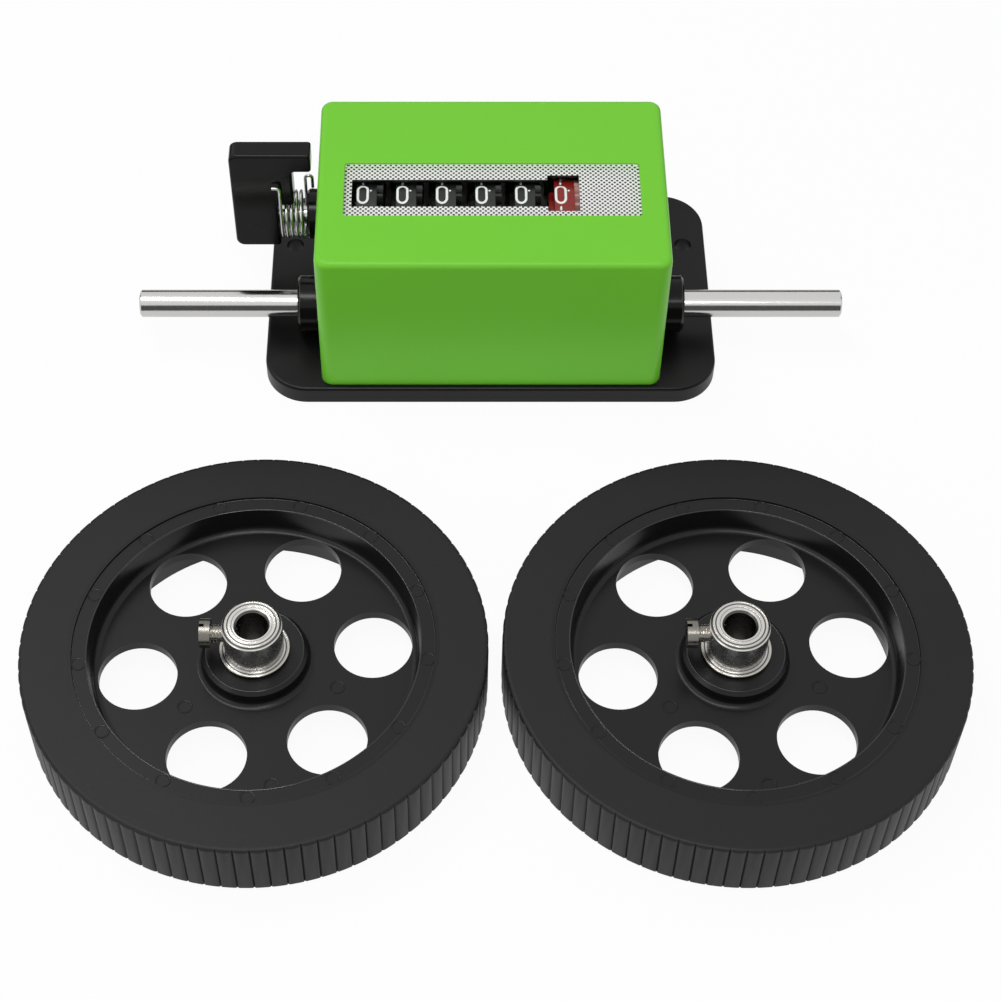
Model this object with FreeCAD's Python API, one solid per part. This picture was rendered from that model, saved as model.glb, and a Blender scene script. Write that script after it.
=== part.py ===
import FreeCAD, Part
import math
import os

# Cable length counter: a green housing on a black base, a shaft right through it, six number
# drums under a window, a reset lever, and two measuring wheels lying loose in front.
# Millimetres. The origin is the centre of the four mounting holes on the underside of the base.
# +X runs along the shaft, +Y to the back, +Z up.

V = FreeCAD.Vector
AXIS_X = V(1, 0, 0)
AXIS_Y = V(0, 1, 0)
AXIS_Z = V(0, 0, 1)

# Fits and cuts
RUN_FIT = 0.05
SNUG = 0.02
SEAT_GAP = 0.2
OVERRUN = 1.0
UPRIGHT_SHARE = 0.999
LEVEL_SHARE = 0.01

# Base plate
BASE_W = 115.2
BASE_D = 69.0
BASE_T = 5.0
BASE_CORNER = 11.0
BASE_EDGE = 0.8
MOUNT_EDGE_X = 5.9
MOUNT_PITCH_Y = 20.6
MOUNT_BACK = 9.7
MOUNT_HOLE_R = 2.25

# Housing
COVER_W = 86.0
COVER_D = 57.5
COVER_H = 44.0
COVER_FRONT_STEP = 1.6
COVER_WALL = 2.5
COVER_TOP = 2.2
COVER_CORNER = 3.0
COVER_EDGE = 1.6
COVER_POST_R = 3.2
COVER_POST_SIDE = 5.0
COVER_POST_WALL_GAP = 2.95

# Window in the top of the housing
WINDOW_SIDE = 6.6
WINDOW_D = 18.0
WINDOW_FORWARD = 3.4
WINDOW_CORNER = 0.8
LENS_FIT = 0.1
LENS_RECESS = 0.3
MASK_T = 0.8
MASK_LAP = 2.0
MASK_SLOT_D = 9.2
MASK_SLOT_SIDE = 3.6
MASK_UNITS_D = 12.2
MASK_UNITS_LEFT = 4.25

# Main shaft and its bearings
SHAFT_R = 3.5
SHAFT_L = 179.0
SHAFT_FORWARD = 9.0
SHAFT_Z = 13.8
SHAFT_CHAMFER = 0.4
SHAFT_RELIEF = 0.05
SHAFT_SEAT_GAP = 0.4
SHAFT_GROOVE_W = 1.0
SHAFT_GROOVE_DEPTH = 0.3
BOSS_R = 7.3
BOSS_L = 6.0
BOSS_FLARE_R = 8.0
BOSS_FLARE_T = 1.2
BOSS_NECK_R = 5.0
BOSS_CHAMFER = 0.6
RING_R = 5.1
RING_T = 0.8

# Number drums
DRUM_COUNT = 6
DRUM_LEFT_GAP = 12.1
DRUM_RIGHT_GAP = 25.15
DRUM_R = 13.8
DRUM_RIM_T = 1.6
DRUM_WEB_SHARE = 0.28
DRUM_HUB_R = 3.6
DRUM_HUB_STEP = 0.15
DRUM_PASS_GAP = 0.5
DRUM_FORWARD = 2.4
DRUM_MASK_GAP = 0.5
DIGIT_AXLE_R = 2.0
CARRY_R = 9.6
CARRY_TOOTH_R = 11.0
CARRY_TOOTH_W = 1.8
CARRY_T = 1.2
HEART_T = 1.6
HEART_LOW_R = 4.4
HEART_HIGH_R = 7.6
HEART_STEPS = 12
SPACER_R = 3.0

# Gears: teeth, module in mm, pressure angle in degrees
PRESSURE_ANGLE = 25.0
ADDENDUM_SHARE = 0.8
DEDENDUM_SHARE = 1.05
BACKLASH = 0.16
FLANK_STEPS = 3
RING_TEETH = 20
PINION_TEETH = 8
TRANSFER_MODULE = 1.25
RING_W = 1.5
PINION_SIDE_GAP = 0.25
PINION_AXLE_R = 1.5
PINION_FORWARD = 15.5
DRIVE_TEETH = 20
IDLER_TEETH = 24
DRIVE_MODULE = 0.6
DRIVE_W = 2.0
DRIVE_DRUM_GAP = 6.3
DRIVE_HUB_R = 4.6
IDLER_PINION_TEETH = 12
UNITS_TEETH = 30
UNITS_MODULE = 0.85
IDLER_SLEEVE_R = 3.0
IDLER_HUB_L = 1.2
IDLER_SHOULDER_R = 2.6
STUB_R = 1.5

# Frame plates
PLATE_T = 1.5
PLATE_LEFT_GAP = 1.1
PLATE_RIGHT_GAP = 9.5
PLATE_HALF_D = 19.6
PLATE_TOP_GAP = 4.6
PLATE_CORNER = 5.0
FOOT_L = 6.5
FOOT_HALF_D = 14.0
FOOT_SCREW_Y = 9.0
TIE_R = 2.0
TIE_INSET = 2.6
TIE_LOW_Z = 4.2
TIE_HIGH_INSET = 3.2
SCREW_R = 1.5
SCREW_HEAD_R = 2.8
SCREW_HEAD_T = 1.7
COVER_SCREW_L = 12.0

# Reset lever, its shaft, spring and hammers
RESET_BACK = 15.4
RESET_Z = 21.5
RESET_SHAFT_R = 2.5
BUSH_R = 6.5
BUSH_L = 4.2
BUSH_NECK_R = 4.0
BUSH_CHAMFER = 0.5
LEVER_T = 5.2
LEVER_HUB_R = 4.75
LEVER_FLAG_W = 11.6
LEVER_SPRING_SIDE = 0.335
LEVER_ARM_W = 4.9
LEVER_COVER_GAP = 2.4
LEVER_TOP = 25.0
LEVER_ARM_BOTTOM = 19.2
LEVER_SPRING_GAP = 1.2
LEVER_BOTTOM = -7.0
LEVER_CORNER = 2.2
LEVER_NOTCH_R = 0.8
LEVER_EDGE = 0.7
PIN_R = 1.0
COMB_R = 4.0
HAMMER_REACH = 12.0
HAMMER_W = 1.2
HAMMER_BASE_HALF = 2.2
HAMMER_TIP_HALF = 1.2
HAMMER_REST_BACK_DEG = 50.0
SPRING_WIRE_R = 0.425
SPRING_R = 5.95
SPRING_PITCH = 1.27
SPRING_TURNS = 4.5
SPRING_BUSH_GAP = 0.3
SPRING_LEFT_LEG = 14.0
SPRING_RIGHT_LEG = 7.0
SPRING_BEND_R = 0.9
SPRING_LEFT_HOOK = 1.0
SPRING_RIGHT_HOOK = 3.2
SPRING_POINTS = 600
SPRING_STEP_SHARE = 0.25

# Measuring wheels: three turns to the metre
METRE = 1000.0
TURNS_PER_METRE = 3.0
WHEEL_R = METRE / TURNS_PER_METRE / (2 * math.pi)
WHEEL_T = 17.0
WHEEL_X = 54.6
WHEEL_FORWARD = 115.0
TYRE_INNER_R = 42.0
TYRE_EDGE = 0.9
TREAD_COUNT = 90
GROOVE_DEPTH = 0.6
GROOVE_SHARE = 0.22
RIM_INNER_R = 37.7
RIM_STEP = 0.5
RIM_STEP_R = 41.2
RIM_DRAFT = 0.6
WEB_T = 2.4
WEB_FILLET = 1.5
HOLE_COUNT = 6
HOLE_R = 9.0
HOLE_CIRCLE_R = 27.0
HOLE_PHASE_DEG = 9.0
HUB_BOSS_R = 12.0
HUB_BOSS_RISE = 4.2
HUB_BOSS_EDGE = 0.8
HUB_R = 6.8
HUB_RISE = 9.4
HUB_FLANGE_R = 8.0
HUB_FLANGE_T = 1.0
HUB_SHANK_R = 6.0
HUB_CHAMFER = 0.6
HUB_SCREW_DROP = 3.6
HUB_SCREW_R = 1.95
HUB_SCREW_FIT = 0.08
HUB_SCREW_HEAD_R = 3.3
HUB_SCREW_HEAD_T = 2.4
HUB_SCREW_SHOW = 2.6
HUB_SCREW_TIP_GAP = 0.5
HUB_SLOT_W = 0.8
HUB_SLOT_DEPTH = 1.1

# Places worked out from the sizes above
COVER_Y = -MOUNT_BACK
BASE_FRONT_Y = COVER_Y - COVER_D / 2 - COVER_FRONT_STEP
BASE_BACK_Y = BASE_FRONT_Y + BASE_D
COVER_TOP_Z = BASE_T + COVER_H
CEILING_Z = COVER_TOP_Z - COVER_TOP
INNER_HALF_W = COVER_W / 2 - COVER_WALL
MOUNT_PITCH_X = BASE_W - 2 * MOUNT_EDGE_X
COVER_POST_X = INNER_HALF_W - COVER_POST_SIDE
POST_Y = COVER_D / 2 - COVER_WALL - COVER_POST_WALL_GAP
WINDOW_W = COVER_W - 2 * WINDOW_SIDE
WINDOW_Y = COVER_Y - WINDOW_FORWARD
SHAFT_Y = COVER_Y - SHAFT_FORWARD
DRUM_Y = COVER_Y - DRUM_FORWARD
DRUM_Z = CEILING_Z - MASK_T - DRUM_MASK_GAP - DRUM_R
RESET_Y = COVER_Y + RESET_BACK
TRANSFER_CENTRES = TRANSFER_MODULE * (RING_TEETH + PINION_TEETH) / 2
PINION_Y = DRUM_Y - PINION_FORWARD
PINION_Z = DRUM_Z - math.sqrt(TRANSFER_CENTRES ** 2 - PINION_FORWARD ** 2)
PLATE_LEFT_X = PLATE_LEFT_GAP - INNER_HALF_W
PLATE_RIGHT_X = INNER_HALF_W - PLATE_RIGHT_GAP
PLATE_LEFT_FACE = PLATE_LEFT_X + PLATE_T
PLATE_TOP_Z = CEILING_Z - PLATE_TOP_GAP
BUSH_END_X = -COVER_W / 2 - BUSH_L
SPRING_LEFT_X = BUSH_END_X - SPRING_BUSH_GAP - SPRING_WIRE_R - SPRING_PITCH * SPRING_TURNS
LEVER_PLATE_RIGHT_X = SPRING_LEFT_X - SPRING_WIRE_R - LEVER_SPRING_SIDE
LEVER_LEFT_X = LEVER_PLATE_RIGHT_X - LEVER_FLAG_W
LEVER_ARM_RIGHT_X = -COVER_W / 2 - LEVER_COVER_GAP
LEVER_NOTCH_X = LEVER_ARM_RIGHT_X - LEVER_ARM_W
JOURNAL_R = SHAFT_R - SHAFT_RELIEF
SHAFT_SEAT_X = COVER_W / 2 + BOSS_L + SHAFT_SEAT_GAP
WHEEL_Y = COVER_Y - WHEEL_FORWARD
DRUM_PITCH = (COVER_W - DRUM_LEFT_GAP - DRUM_RIGHT_GAP) / (DRUM_COUNT - 1)
DRUM_FIRST_X = DRUM_LEFT_GAP - COVER_W / 2
DRUM_X = [DRUM_FIRST_X + i * DRUM_PITCH for i in range(DRUM_COUNT)]
DRUM_HALF_W = (DRUM_PITCH - CARRY_T - RING_W - HEART_T - DRUM_PASS_GAP) / 2
DRUM_WEB_T = 2 * DRUM_HALF_W * DRUM_WEB_SHARE
DRUM_HUB_LEFT = DRUM_HALF_W + CARRY_T + DRUM_HUB_STEP
DRUM_HUB_RIGHT = DRUM_PITCH - DRUM_HUB_LEFT - SEAT_GAP
LAST_DRUM_X = DRUM_X[-1]
DRIVE_X = LAST_DRUM_X + DRIVE_DRUM_GAP


def cylinder_x(radius, x0, x1, y, z):
    """A round bar along X from x0 to x1."""
    return Part.makeCylinder(radius, x1 - x0, V(x0, y, z), AXIS_X)


def box(x0, x1, y0, y1, z0, z1):
    """A block between two corners."""
    return Part.makeBox(x1 - x0, y1 - y0, z1 - z0, V(x0, y0, z0))


def upright_edges(shape):
    """The edges of a block that run along Z."""
    found = []
    for edge in shape.Edges:
        ends = edge.Vertexes[1].Point - edge.Vertexes[0].Point
        if ends.Length > 0 and abs(ends.z) > UPRIGHT_SHARE * ends.Length:
            found.append(edge)
    return found


def edges_at_height(shape, z):
    """The edges of a shape that lie wholly at one height."""
    found = []
    for edge in shape.Edges:
        bounds = edge.BoundBox
        near = LEVEL_SHARE * BASE_EDGE
        if abs(bounds.ZMin - z) < near and abs(bounds.ZMax - z) < near:
            found.append(edge)
    return found


def rounded_block(x0, x1, y0, y1, z0, z1, corner):
    """A block with round upright corners."""
    block = box(x0, x1, y0, y1, z0, z1)
    return block.makeFillet(corner, upright_edges(block))


def turned(points, centre, axis):
    """A closed profile of (radius, height) points turned about an axis through centre."""
    if axis == "z":
        corners = [V(centre[0] + r, centre[1], centre[2] + h) for r, h in points]
        direction = AXIS_Z
    else:
        corners = [V(centre[0] + h, centre[1] + r, centre[2]) for r, h in points]
        direction = AXIS_X
    face = Part.Face(Part.makePolygon(corners + corners[:1]))
    return face.revolve(V(*centre), direction, 360)


def involute(angle):
    """The involute function, tan(a) - a."""
    return math.tan(angle) - angle


def gear_blank(teeth, module, width, x, y, z, phase):
    """An involute spur gear about X, with one tooth centred at the angle phase (+Y towards +Z)."""
    pitch_r = teeth * module / 2
    pressure = math.radians(PRESSURE_ANGLE)
    base_r = pitch_r * math.cos(pressure)
    outer_r = pitch_r + ADDENDUM_SHARE * module
    root_r = pitch_r - DEDENDUM_SHARE * module
    half_at_pitch = math.pi / (2 * teeth) - BACKLASH / (4 * pitch_r)
    low_r = max(base_r, root_r)
    flank = []
    for k in range(FLANK_STEPS + 1):
        r = low_r + (outer_r - low_r) * k / FLANK_STEPS
        roll = math.acos(min(1, base_r / r))
        flank.append((r, half_at_pitch + involute(pressure) - involute(roll)))
    if root_r < base_r:
        flank.insert(0, (root_r, flank[0][1]))
    corners = []
    for k in range(teeth):
        middle = phase + 2 * math.pi * k / teeth
        for r, half in flank:
            corners.append((r, middle - half))
        for r, half in reversed(flank):
            corners.append((r, middle + half))
    points = [V(x, y + r * math.cos(a), z + r * math.sin(a)) for r, a in corners]
    face = Part.Face(Part.makePolygon(points + points[:1]))
    return face.extrude(V(width, 0, 0))


def meshed_phase(phase, teeth, other_teeth, line_angle):
    """The phase of a gear that meshes with one of a known phase along the line of centres."""
    offset = (line_angle - phase) / (2 * math.pi / teeth)
    return line_angle + math.pi - (0.5 - offset) * 2 * math.pi / other_teeth


def angle_between(y0, z0, y1, z1):
    """The angle of the line from one axis to another, from +Y towards +Z."""
    return math.atan2(z1 - z0, y1 - y0)


def idler_place():
    """The idler's axis, which both its centre distances fix, on the back side of the shaft."""
    to_shaft = DRIVE_MODULE * (DRIVE_TEETH + IDLER_TEETH) / 2
    to_drum = UNITS_MODULE * (IDLER_PINION_TEETH + UNITS_TEETH) / 2
    dy = DRUM_Y - SHAFT_Y
    dz = DRUM_Z - SHAFT_Z
    span = math.hypot(dy, dz)
    along = (to_shaft ** 2 - to_drum ** 2 + span ** 2) / (2 * span)
    aside = math.sqrt(to_shaft ** 2 - along ** 2)
    y = SHAFT_Y + (along * dy + aside * dz) / span
    z = SHAFT_Z + (along * dz - aside * dy) / span
    return y, z


IDLER_Y, IDLER_Z = idler_place()


def base_plate():
    """Black plate with round corners, mounting holes and screw holes countersunk from below."""
    half_w = BASE_W / 2
    plate = rounded_block(-half_w, half_w, BASE_FRONT_Y, BASE_BACK_Y, 0, BASE_T, BASE_CORNER)
    plate = plate.makeFillet(BASE_EDGE, edges_at_height(plate, BASE_T))
    for sx in (-1, 1):
        for sy in (-1, 1):
            at = V(sx * MOUNT_PITCH_X / 2, sy * MOUNT_PITCH_Y / 2, -OVERRUN)
            plate = plate.cut(Part.makeCylinder(MOUNT_HOLE_R, BASE_T + 2 * OVERRUN, at))
    for x, y in cover_screw_places() + frame_screw_places():
        plate = plate.cut(screw_cutter(x, y))
    return plate


def cover_screw_places():
    """The four screws that hold the housing to the base."""
    return [(sx * COVER_POST_X, COVER_Y + sy * POST_Y) for sx in (-1, 1) for sy in (-1, 1)]


def frame_screw_places():
    """The two screws in the foot of each side plate."""
    xs = (PLATE_LEFT_FACE + FOOT_L / 2, PLATE_RIGHT_X + PLATE_T + FOOT_L / 2)
    return [(x, COVER_Y + sy * FOOT_SCREW_Y) for x in xs for sy in (-1, 1)]


def screw_profile(length, grow):
    """Half section of a pan screw that points up, its head at the underside of the base."""
    head_r = SCREW_HEAD_R + grow
    shank_r = SCREW_R + grow
    return [(0, 0), (head_r, 0), (head_r, SCREW_HEAD_T), (shank_r, SCREW_HEAD_T),
            (shank_r, length), (0, length)]


def screw_cutter(x, y):
    """The stepped hole of a screw in the base."""
    hole = turned(screw_profile(BASE_T + OVERRUN, SNUG), (x, y, 0), "z")
    mouth = Part.makeCylinder(SCREW_HEAD_R + SNUG, OVERRUN, V(x, y, -OVERRUN))
    return hole.fuse(mouth)


def screws(places, length):
    """A group of like screws."""
    return Part.makeCompound([turned(screw_profile(length, 0), (x, y, 0), "z") for x, y in places])


def cover():
    """Green housing: an open-bottomed shell with a window, shaft slots and screw posts."""
    half_w = COVER_W / 2
    half_d = COVER_D / 2
    shell = rounded_block(-half_w, half_w, COVER_Y - half_d, COVER_Y + half_d,
                          BASE_T, COVER_TOP_Z, COVER_CORNER)
    shell = shell.makeFillet(COVER_EDGE, edges_at_height(shell, COVER_TOP_Z))
    inner_d = half_d - COVER_WALL
    shell = shell.cut(box(-INNER_HALF_W, INNER_HALF_W, COVER_Y - inner_d, COVER_Y + inner_d,
                          BASE_T - OVERRUN, CEILING_Z))
    for x, y in cover_screw_places():
        post = Part.makeCylinder(COVER_POST_R, CEILING_Z - BASE_T, V(x, y, BASE_T))
        pilot_top = COVER_SCREW_L + OVERRUN
        pilot = Part.makeCylinder(SCREW_R + SNUG, pilot_top, V(x, y, 0))
        shell = shell.fuse(post).cut(pilot)
    shell = shell.cut(rounded_block(-WINDOW_W / 2, WINDOW_W / 2, WINDOW_Y - WINDOW_D / 2,
                                    WINDOW_Y + WINDOW_D / 2, CEILING_Z - OVERRUN,
                                    COVER_TOP_Z + OVERRUN, WINDOW_CORNER))
    slot_r = BOSS_NECK_R + SEAT_GAP / 2
    shell = shell.cut(cylinder_x(slot_r, -half_w - OVERRUN, half_w + OVERRUN, SHAFT_Y, SHAFT_Z))
    shell = shell.cut(box(-half_w - OVERRUN, half_w + OVERRUN, SHAFT_Y - slot_r, SHAFT_Y + slot_r,
                          BASE_T - OVERRUN, SHAFT_Z))
    return shell.cut(cylinder_x(BUSH_NECK_R + SNUG, -half_w - OVERRUN, -INNER_HALF_W + OVERRUN,
                                RESET_Y, RESET_Z))


def window_lens():
    """Clear plate in the window, a little below the top of the housing."""
    half_w = WINDOW_W / 2 - LENS_FIT
    half_d = WINDOW_D / 2 - LENS_FIT
    return rounded_block(-half_w, half_w, WINDOW_Y - half_d, WINDOW_Y + half_d,
                         CEILING_Z, COVER_TOP_Z - LENS_RECESS, WINDOW_CORNER)


def window_mask():
    """Thin mask under the lens, its slot wider over the red drum."""
    half_w = WINDOW_W / 2 + MASK_LAP
    half_d = WINDOW_D / 2 + MASK_LAP
    low = CEILING_Z - MASK_T
    mask = box(-half_w, half_w, WINDOW_Y - half_d, WINDOW_Y + half_d, low, CEILING_Z)
    left = DRUM_X[0] - MASK_SLOT_SIDE
    right = LAST_DRUM_X + MASK_SLOT_SIDE
    for x0, depth in ((left, MASK_SLOT_D), (LAST_DRUM_X - MASK_UNITS_LEFT, MASK_UNITS_D)):
        mask = mask.cut(box(x0, right, WINDOW_Y - depth / 2, WINDOW_Y + depth / 2,
                            low - OVERRUN, CEILING_Z + OVERRUN))
    return mask


def side_plate(x, foot_side):
    """Steel side plate with round top corners and a foot, bored for every axle."""
    half_d = PLATE_HALF_D
    plate = box(x, x + PLATE_T, COVER_Y - half_d, COVER_Y + half_d, BASE_T, PLATE_TOP_Z)
    tops = []
    for edge in plate.Edges:
        bounds = edge.BoundBox
        if bounds.XLength > PLATE_T / 2 and bounds.ZMin > PLATE_TOP_Z - PLATE_T:
            tops.append(edge)
    plate = plate.makeFillet(PLATE_CORNER, tops)
    foot_x = x + PLATE_T
    foot = box(foot_x, foot_x + FOOT_L, COVER_Y - FOOT_HALF_D, COVER_Y + FOOT_HALF_D,
               BASE_T, BASE_T + PLATE_T)
    plate = plate.fuse(foot).removeSplitter()
    for sx, sy in frame_screw_places():
        hole = Part.makeCylinder(SCREW_R + SNUG, PLATE_T + 2 * OVERRUN, V(sx, sy, BASE_T - OVERRUN))
        plate = plate.cut(hole)
    bores = [(BOSS_NECK_R + SNUG, SHAFT_Y, SHAFT_Z), (DIGIT_AXLE_R + SNUG, DRUM_Y, DRUM_Z),
             (PINION_AXLE_R + SNUG, PINION_Y, PINION_Z), (RESET_SHAFT_R + RUN_FIT, RESET_Y, RESET_Z)]
    if foot_side == "right":
        bores.append((STUB_R + SNUG, IDLER_Y, IDLER_Z))
    for y, z in tie_places():
        bores.append((TIE_R / 2 + SNUG, y, z))
    for r, y, z in bores:
        plate = plate.cut(cylinder_x(r, x - OVERRUN, x + PLATE_T + OVERRUN, y, z))
    return plate


def tie_places():
    """The four bars near the corners of the side plates."""
    y = PLATE_HALF_D - TIE_INSET
    low = BASE_T + TIE_LOW_Z
    high = PLATE_TOP_Z - TIE_HIGH_INSET
    return [(COVER_Y + sy * y, z) for sy in (-1, 1) for z in (low, high)]


def tie_bars():
    """Bars between the plates, with a thinner spigot riveted in each plate."""
    bars = []
    for y, z in tie_places():
        body = cylinder_x(TIE_R, PLATE_LEFT_FACE, PLATE_RIGHT_X, y, z)
        spigot = cylinder_x(TIE_R / 2, PLATE_LEFT_X, PLATE_RIGHT_X + PLATE_T, y, z)
        bars.append(body.fuse(spigot).removeSplitter())
    return Part.makeCompound(bars)


def bearing(side):
    """Black flanged bearing: a boss outside the housing and a neck to the side plate."""
    outer = COVER_W / 2
    plate_face = -PLATE_LEFT_FACE if side < 0 else PLATE_RIGHT_X
    bore = SHAFT_R + RUN_FIT
    points = [(bore, plate_face), (BOSS_NECK_R, plate_face), (BOSS_NECK_R, outer),
              (BOSS_FLARE_R, outer), (BOSS_FLARE_R, outer + BOSS_FLARE_T / 2),
              (BOSS_R, outer + BOSS_FLARE_T), (BOSS_R, outer + BOSS_L - BOSS_CHAMFER),
              (BOSS_R - BOSS_CHAMFER, outer + BOSS_L), (bore, outer + BOSS_L)]
    return turned([(r, side * h) for r, h in points], (0, SHAFT_Y, SHAFT_Z), "x")


def main_shaft():
    """Steel shaft: a narrow groove ends each wheel seat at its boss, and each end has a small chamfer."""
    half = SHAFT_L / 2
    small = SHAFT_R - SHAFT_CHAMFER
    groove_r = SHAFT_R - SHAFT_GROOVE_DEPTH
    groove_x = SHAFT_SEAT_X - SHAFT_GROOVE_W
    seat = [(JOURNAL_R, groove_x), (groove_r, groove_x), (groove_r, SHAFT_SEAT_X), (SHAFT_R, SHAFT_SEAT_X),
            (SHAFT_R, half - SHAFT_CHAMFER), (small, half), (0, half)]
    points = [(r, -x) for r, x in reversed(seat)] + seat
    return turned(points, (0, SHAFT_Y, SHAFT_Z), "x")


def shaft_rings():
    """Two rings that keep the shaft between its bearings."""
    left = PLATE_LEFT_FACE + SEAT_GAP
    right = PLATE_RIGHT_X - SEAT_GAP - RING_T
    rings = []
    for x in (left, right):
        ring = cylinder_x(RING_R, x, x + RING_T, SHAFT_Y, SHAFT_Z)
        rings.append(ring.cut(cylinder_x(JOURNAL_R, x - OVERRUN, x + RING_T + OVERRUN, SHAFT_Y, SHAFT_Z)))
    return Part.makeCompound(rings)


def drive_gear():
    """Gear on the main shaft, with a hub that reaches to the ring on its right."""
    gear = gear_blank(DRIVE_TEETH, DRIVE_MODULE, DRIVE_W, DRIVE_X, SHAFT_Y, SHAFT_Z, 0)
    end = PLATE_RIGHT_X - RING_T - 2 * SEAT_GAP
    gear = gear.fuse(cylinder_x(DRIVE_HUB_R, DRIVE_X + DRIVE_W, end, SHAFT_Y, SHAFT_Z))
    return gear.cut(cylinder_x(JOURNAL_R, DRIVE_X - OVERRUN, end + OVERRUN, SHAFT_Y, SHAFT_Z))


def idler_phase():
    """Phase of the idler's large gear, in mesh with the gear on the shaft."""
    line = angle_between(SHAFT_Y, SHAFT_Z, IDLER_Y, IDLER_Z)
    return meshed_phase(0, DRIVE_TEETH, IDLER_TEETH, line)


def idler_gear():
    """Large gear, sleeve and small gear in one moulding, which turns on the stub."""
    small_x = LAST_DRUM_X + DRUM_HALF_W + SEAT_GAP
    large = gear_blank(IDLER_TEETH, DRIVE_MODULE, DRIVE_W, DRIVE_X, IDLER_Y, IDLER_Z, idler_phase())
    small = gear_blank(IDLER_PINION_TEETH, UNITS_MODULE, RING_W, small_x, IDLER_Y, IDLER_Z, 0)
    end = DRIVE_X + DRIVE_W + IDLER_HUB_L
    gear = large.fuse([small, cylinder_x(IDLER_SLEEVE_R, small_x + RING_W, end, IDLER_Y, IDLER_Z)])
    return gear.cut(cylinder_x(STUB_R + RUN_FIT, small_x - OVERRUN, end + OVERRUN, IDLER_Y, IDLER_Z))


def idler_stub():
    """Stub axle in the right side plate, with a shoulder behind the idler."""
    tip = LAST_DRUM_X + DRUM_HALF_W + SEAT_GAP
    shoulder = DRIVE_X + DRIVE_W + IDLER_HUB_L + SEAT_GAP
    pin = cylinder_x(STUB_R, tip, PLATE_RIGHT_X + PLATE_T, IDLER_Y, IDLER_Z)
    return pin.fuse(cylinder_x(IDLER_SHOULDER_R, shoulder, PLATE_RIGHT_X, IDLER_Y, IDLER_Z))


def heart_cam(x):
    """Heart-shaped cam: its radius rises evenly from low to high over each half turn."""
    points = []
    for k in range(2 * HEART_STEPS):
        share = 1 - abs(k - HEART_STEPS) / HEART_STEPS
        r = HEART_LOW_R + (HEART_HIGH_R - HEART_LOW_R) * share
        a = math.pi * k / HEART_STEPS + math.pi / 2
        points.append(V(x, DRUM_Y + r * math.cos(a), DRUM_Z + r * math.sin(a)))
    return Part.Face(Part.makePolygon(points + points[:1])).extrude(V(HEART_T, 0, 0))


def drum_body(x):
    """Hub, web and rim of a number drum, with the carry disc and its two teeth on the left."""
    half = DRUM_HALF_W
    bore = DIGIT_AXLE_R + RUN_FIT
    rim_in = DRUM_R - DRUM_RIM_T
    web = half - DRUM_WEB_T
    points = [(bore, -DRUM_HUB_LEFT), (DRUM_HUB_R, -DRUM_HUB_LEFT), (DRUM_HUB_R, -half - CARRY_T),
              (CARRY_R, -half - CARRY_T), (CARRY_R, -half), (DRUM_R, -half), (DRUM_R, half),
              (rim_in, half), (DRUM_HUB_R, half), (DRUM_HUB_R, DRUM_HUB_RIGHT),
              (bore, DRUM_HUB_RIGHT)]
    drum = turned(points, (x, DRUM_Y, DRUM_Z), "x")
    pocket = turned([(CARRY_R - DRUM_RIM_T, -web), (CARRY_R - DRUM_RIM_T, web),
                     (DRUM_HUB_R, web), (DRUM_HUB_R, -half - CARRY_T - OVERRUN),
                     (CARRY_R - DRUM_RIM_T, -half - CARRY_T - OVERRUN)], (x, DRUM_Y, DRUM_Z), "x")
    drum = drum.cut(pocket)
    teeth = []
    for turn in (-1, 1):
        tooth = box(x - half - CARRY_T, x - half, DRUM_Y - CARRY_TOOTH_W / 2, DRUM_Y + CARRY_TOOTH_W / 2,
                    DRUM_Z + CARRY_R - CARRY_T, DRUM_Z + CARRY_TOOTH_R)
        tooth.rotate(V(x, DRUM_Y, DRUM_Z), AXIS_X, turn * 360.0 / RING_TEETH)
        teeth.append(tooth)
    return drum.fuse(teeth)


def digit_drum(index):
    """Number drum; all but the last carry the 20-tooth ring and the heart cam on the right."""
    x = DRUM_X[index]
    drum = drum_body(x)
    if index == DRUM_COUNT - 1:
        return drum
    face = x + DRUM_HALF_W
    ring = gear_blank(RING_TEETH, TRANSFER_MODULE, RING_W, face, DRUM_Y, DRUM_Z, 0)
    bore = cylinder_x(DIGIT_AXLE_R + RUN_FIT, face - OVERRUN, face + DRUM_PITCH, DRUM_Y, DRUM_Z)
    return drum.fuse([ring.cut(bore), heart_cam(face + RING_W).cut(bore)])


def units_gear():
    """Gear and heart cam pressed on the hub of the red drum."""
    x = LAST_DRUM_X + DRUM_HALF_W
    small_line = angle_between(IDLER_Y, IDLER_Z, DRUM_Y, DRUM_Z)
    phase = meshed_phase(0, IDLER_PINION_TEETH, UNITS_TEETH, small_line)
    gear = gear_blank(UNITS_TEETH, UNITS_MODULE, RING_W, x, DRUM_Y, DRUM_Z, phase)
    gear = gear.fuse(heart_cam(x + RING_W))
    return gear.cut(cylinder_x(DRUM_HUB_R, x - OVERRUN, x + DRUM_PITCH, DRUM_Y, DRUM_Z))


def digit_axle():
    """Axle of the number drums."""
    return cylinder_x(DIGIT_AXLE_R, PLATE_LEFT_X, PLATE_RIGHT_X + PLATE_T, DRUM_Y, DRUM_Z)


def axle_spacers():
    """A short and a long spacer that centre the drums on their axle."""
    left = (PLATE_LEFT_FACE, DRUM_X[0] - DRUM_HUB_LEFT - SEAT_GAP)
    right = (LAST_DRUM_X + DRUM_HUB_RIGHT + SEAT_GAP, PLATE_RIGHT_X)
    spacers = []
    for x0, x1 in (left, right):
        tube = cylinder_x(SPACER_R, x0, x1, DRUM_Y, DRUM_Z)
        spacers.append(tube.cut(cylinder_x(DIGIT_AXLE_R, x0 - OVERRUN, x1 + OVERRUN, DRUM_Y, DRUM_Z)))
    return Part.makeCompound(spacers)


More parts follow.
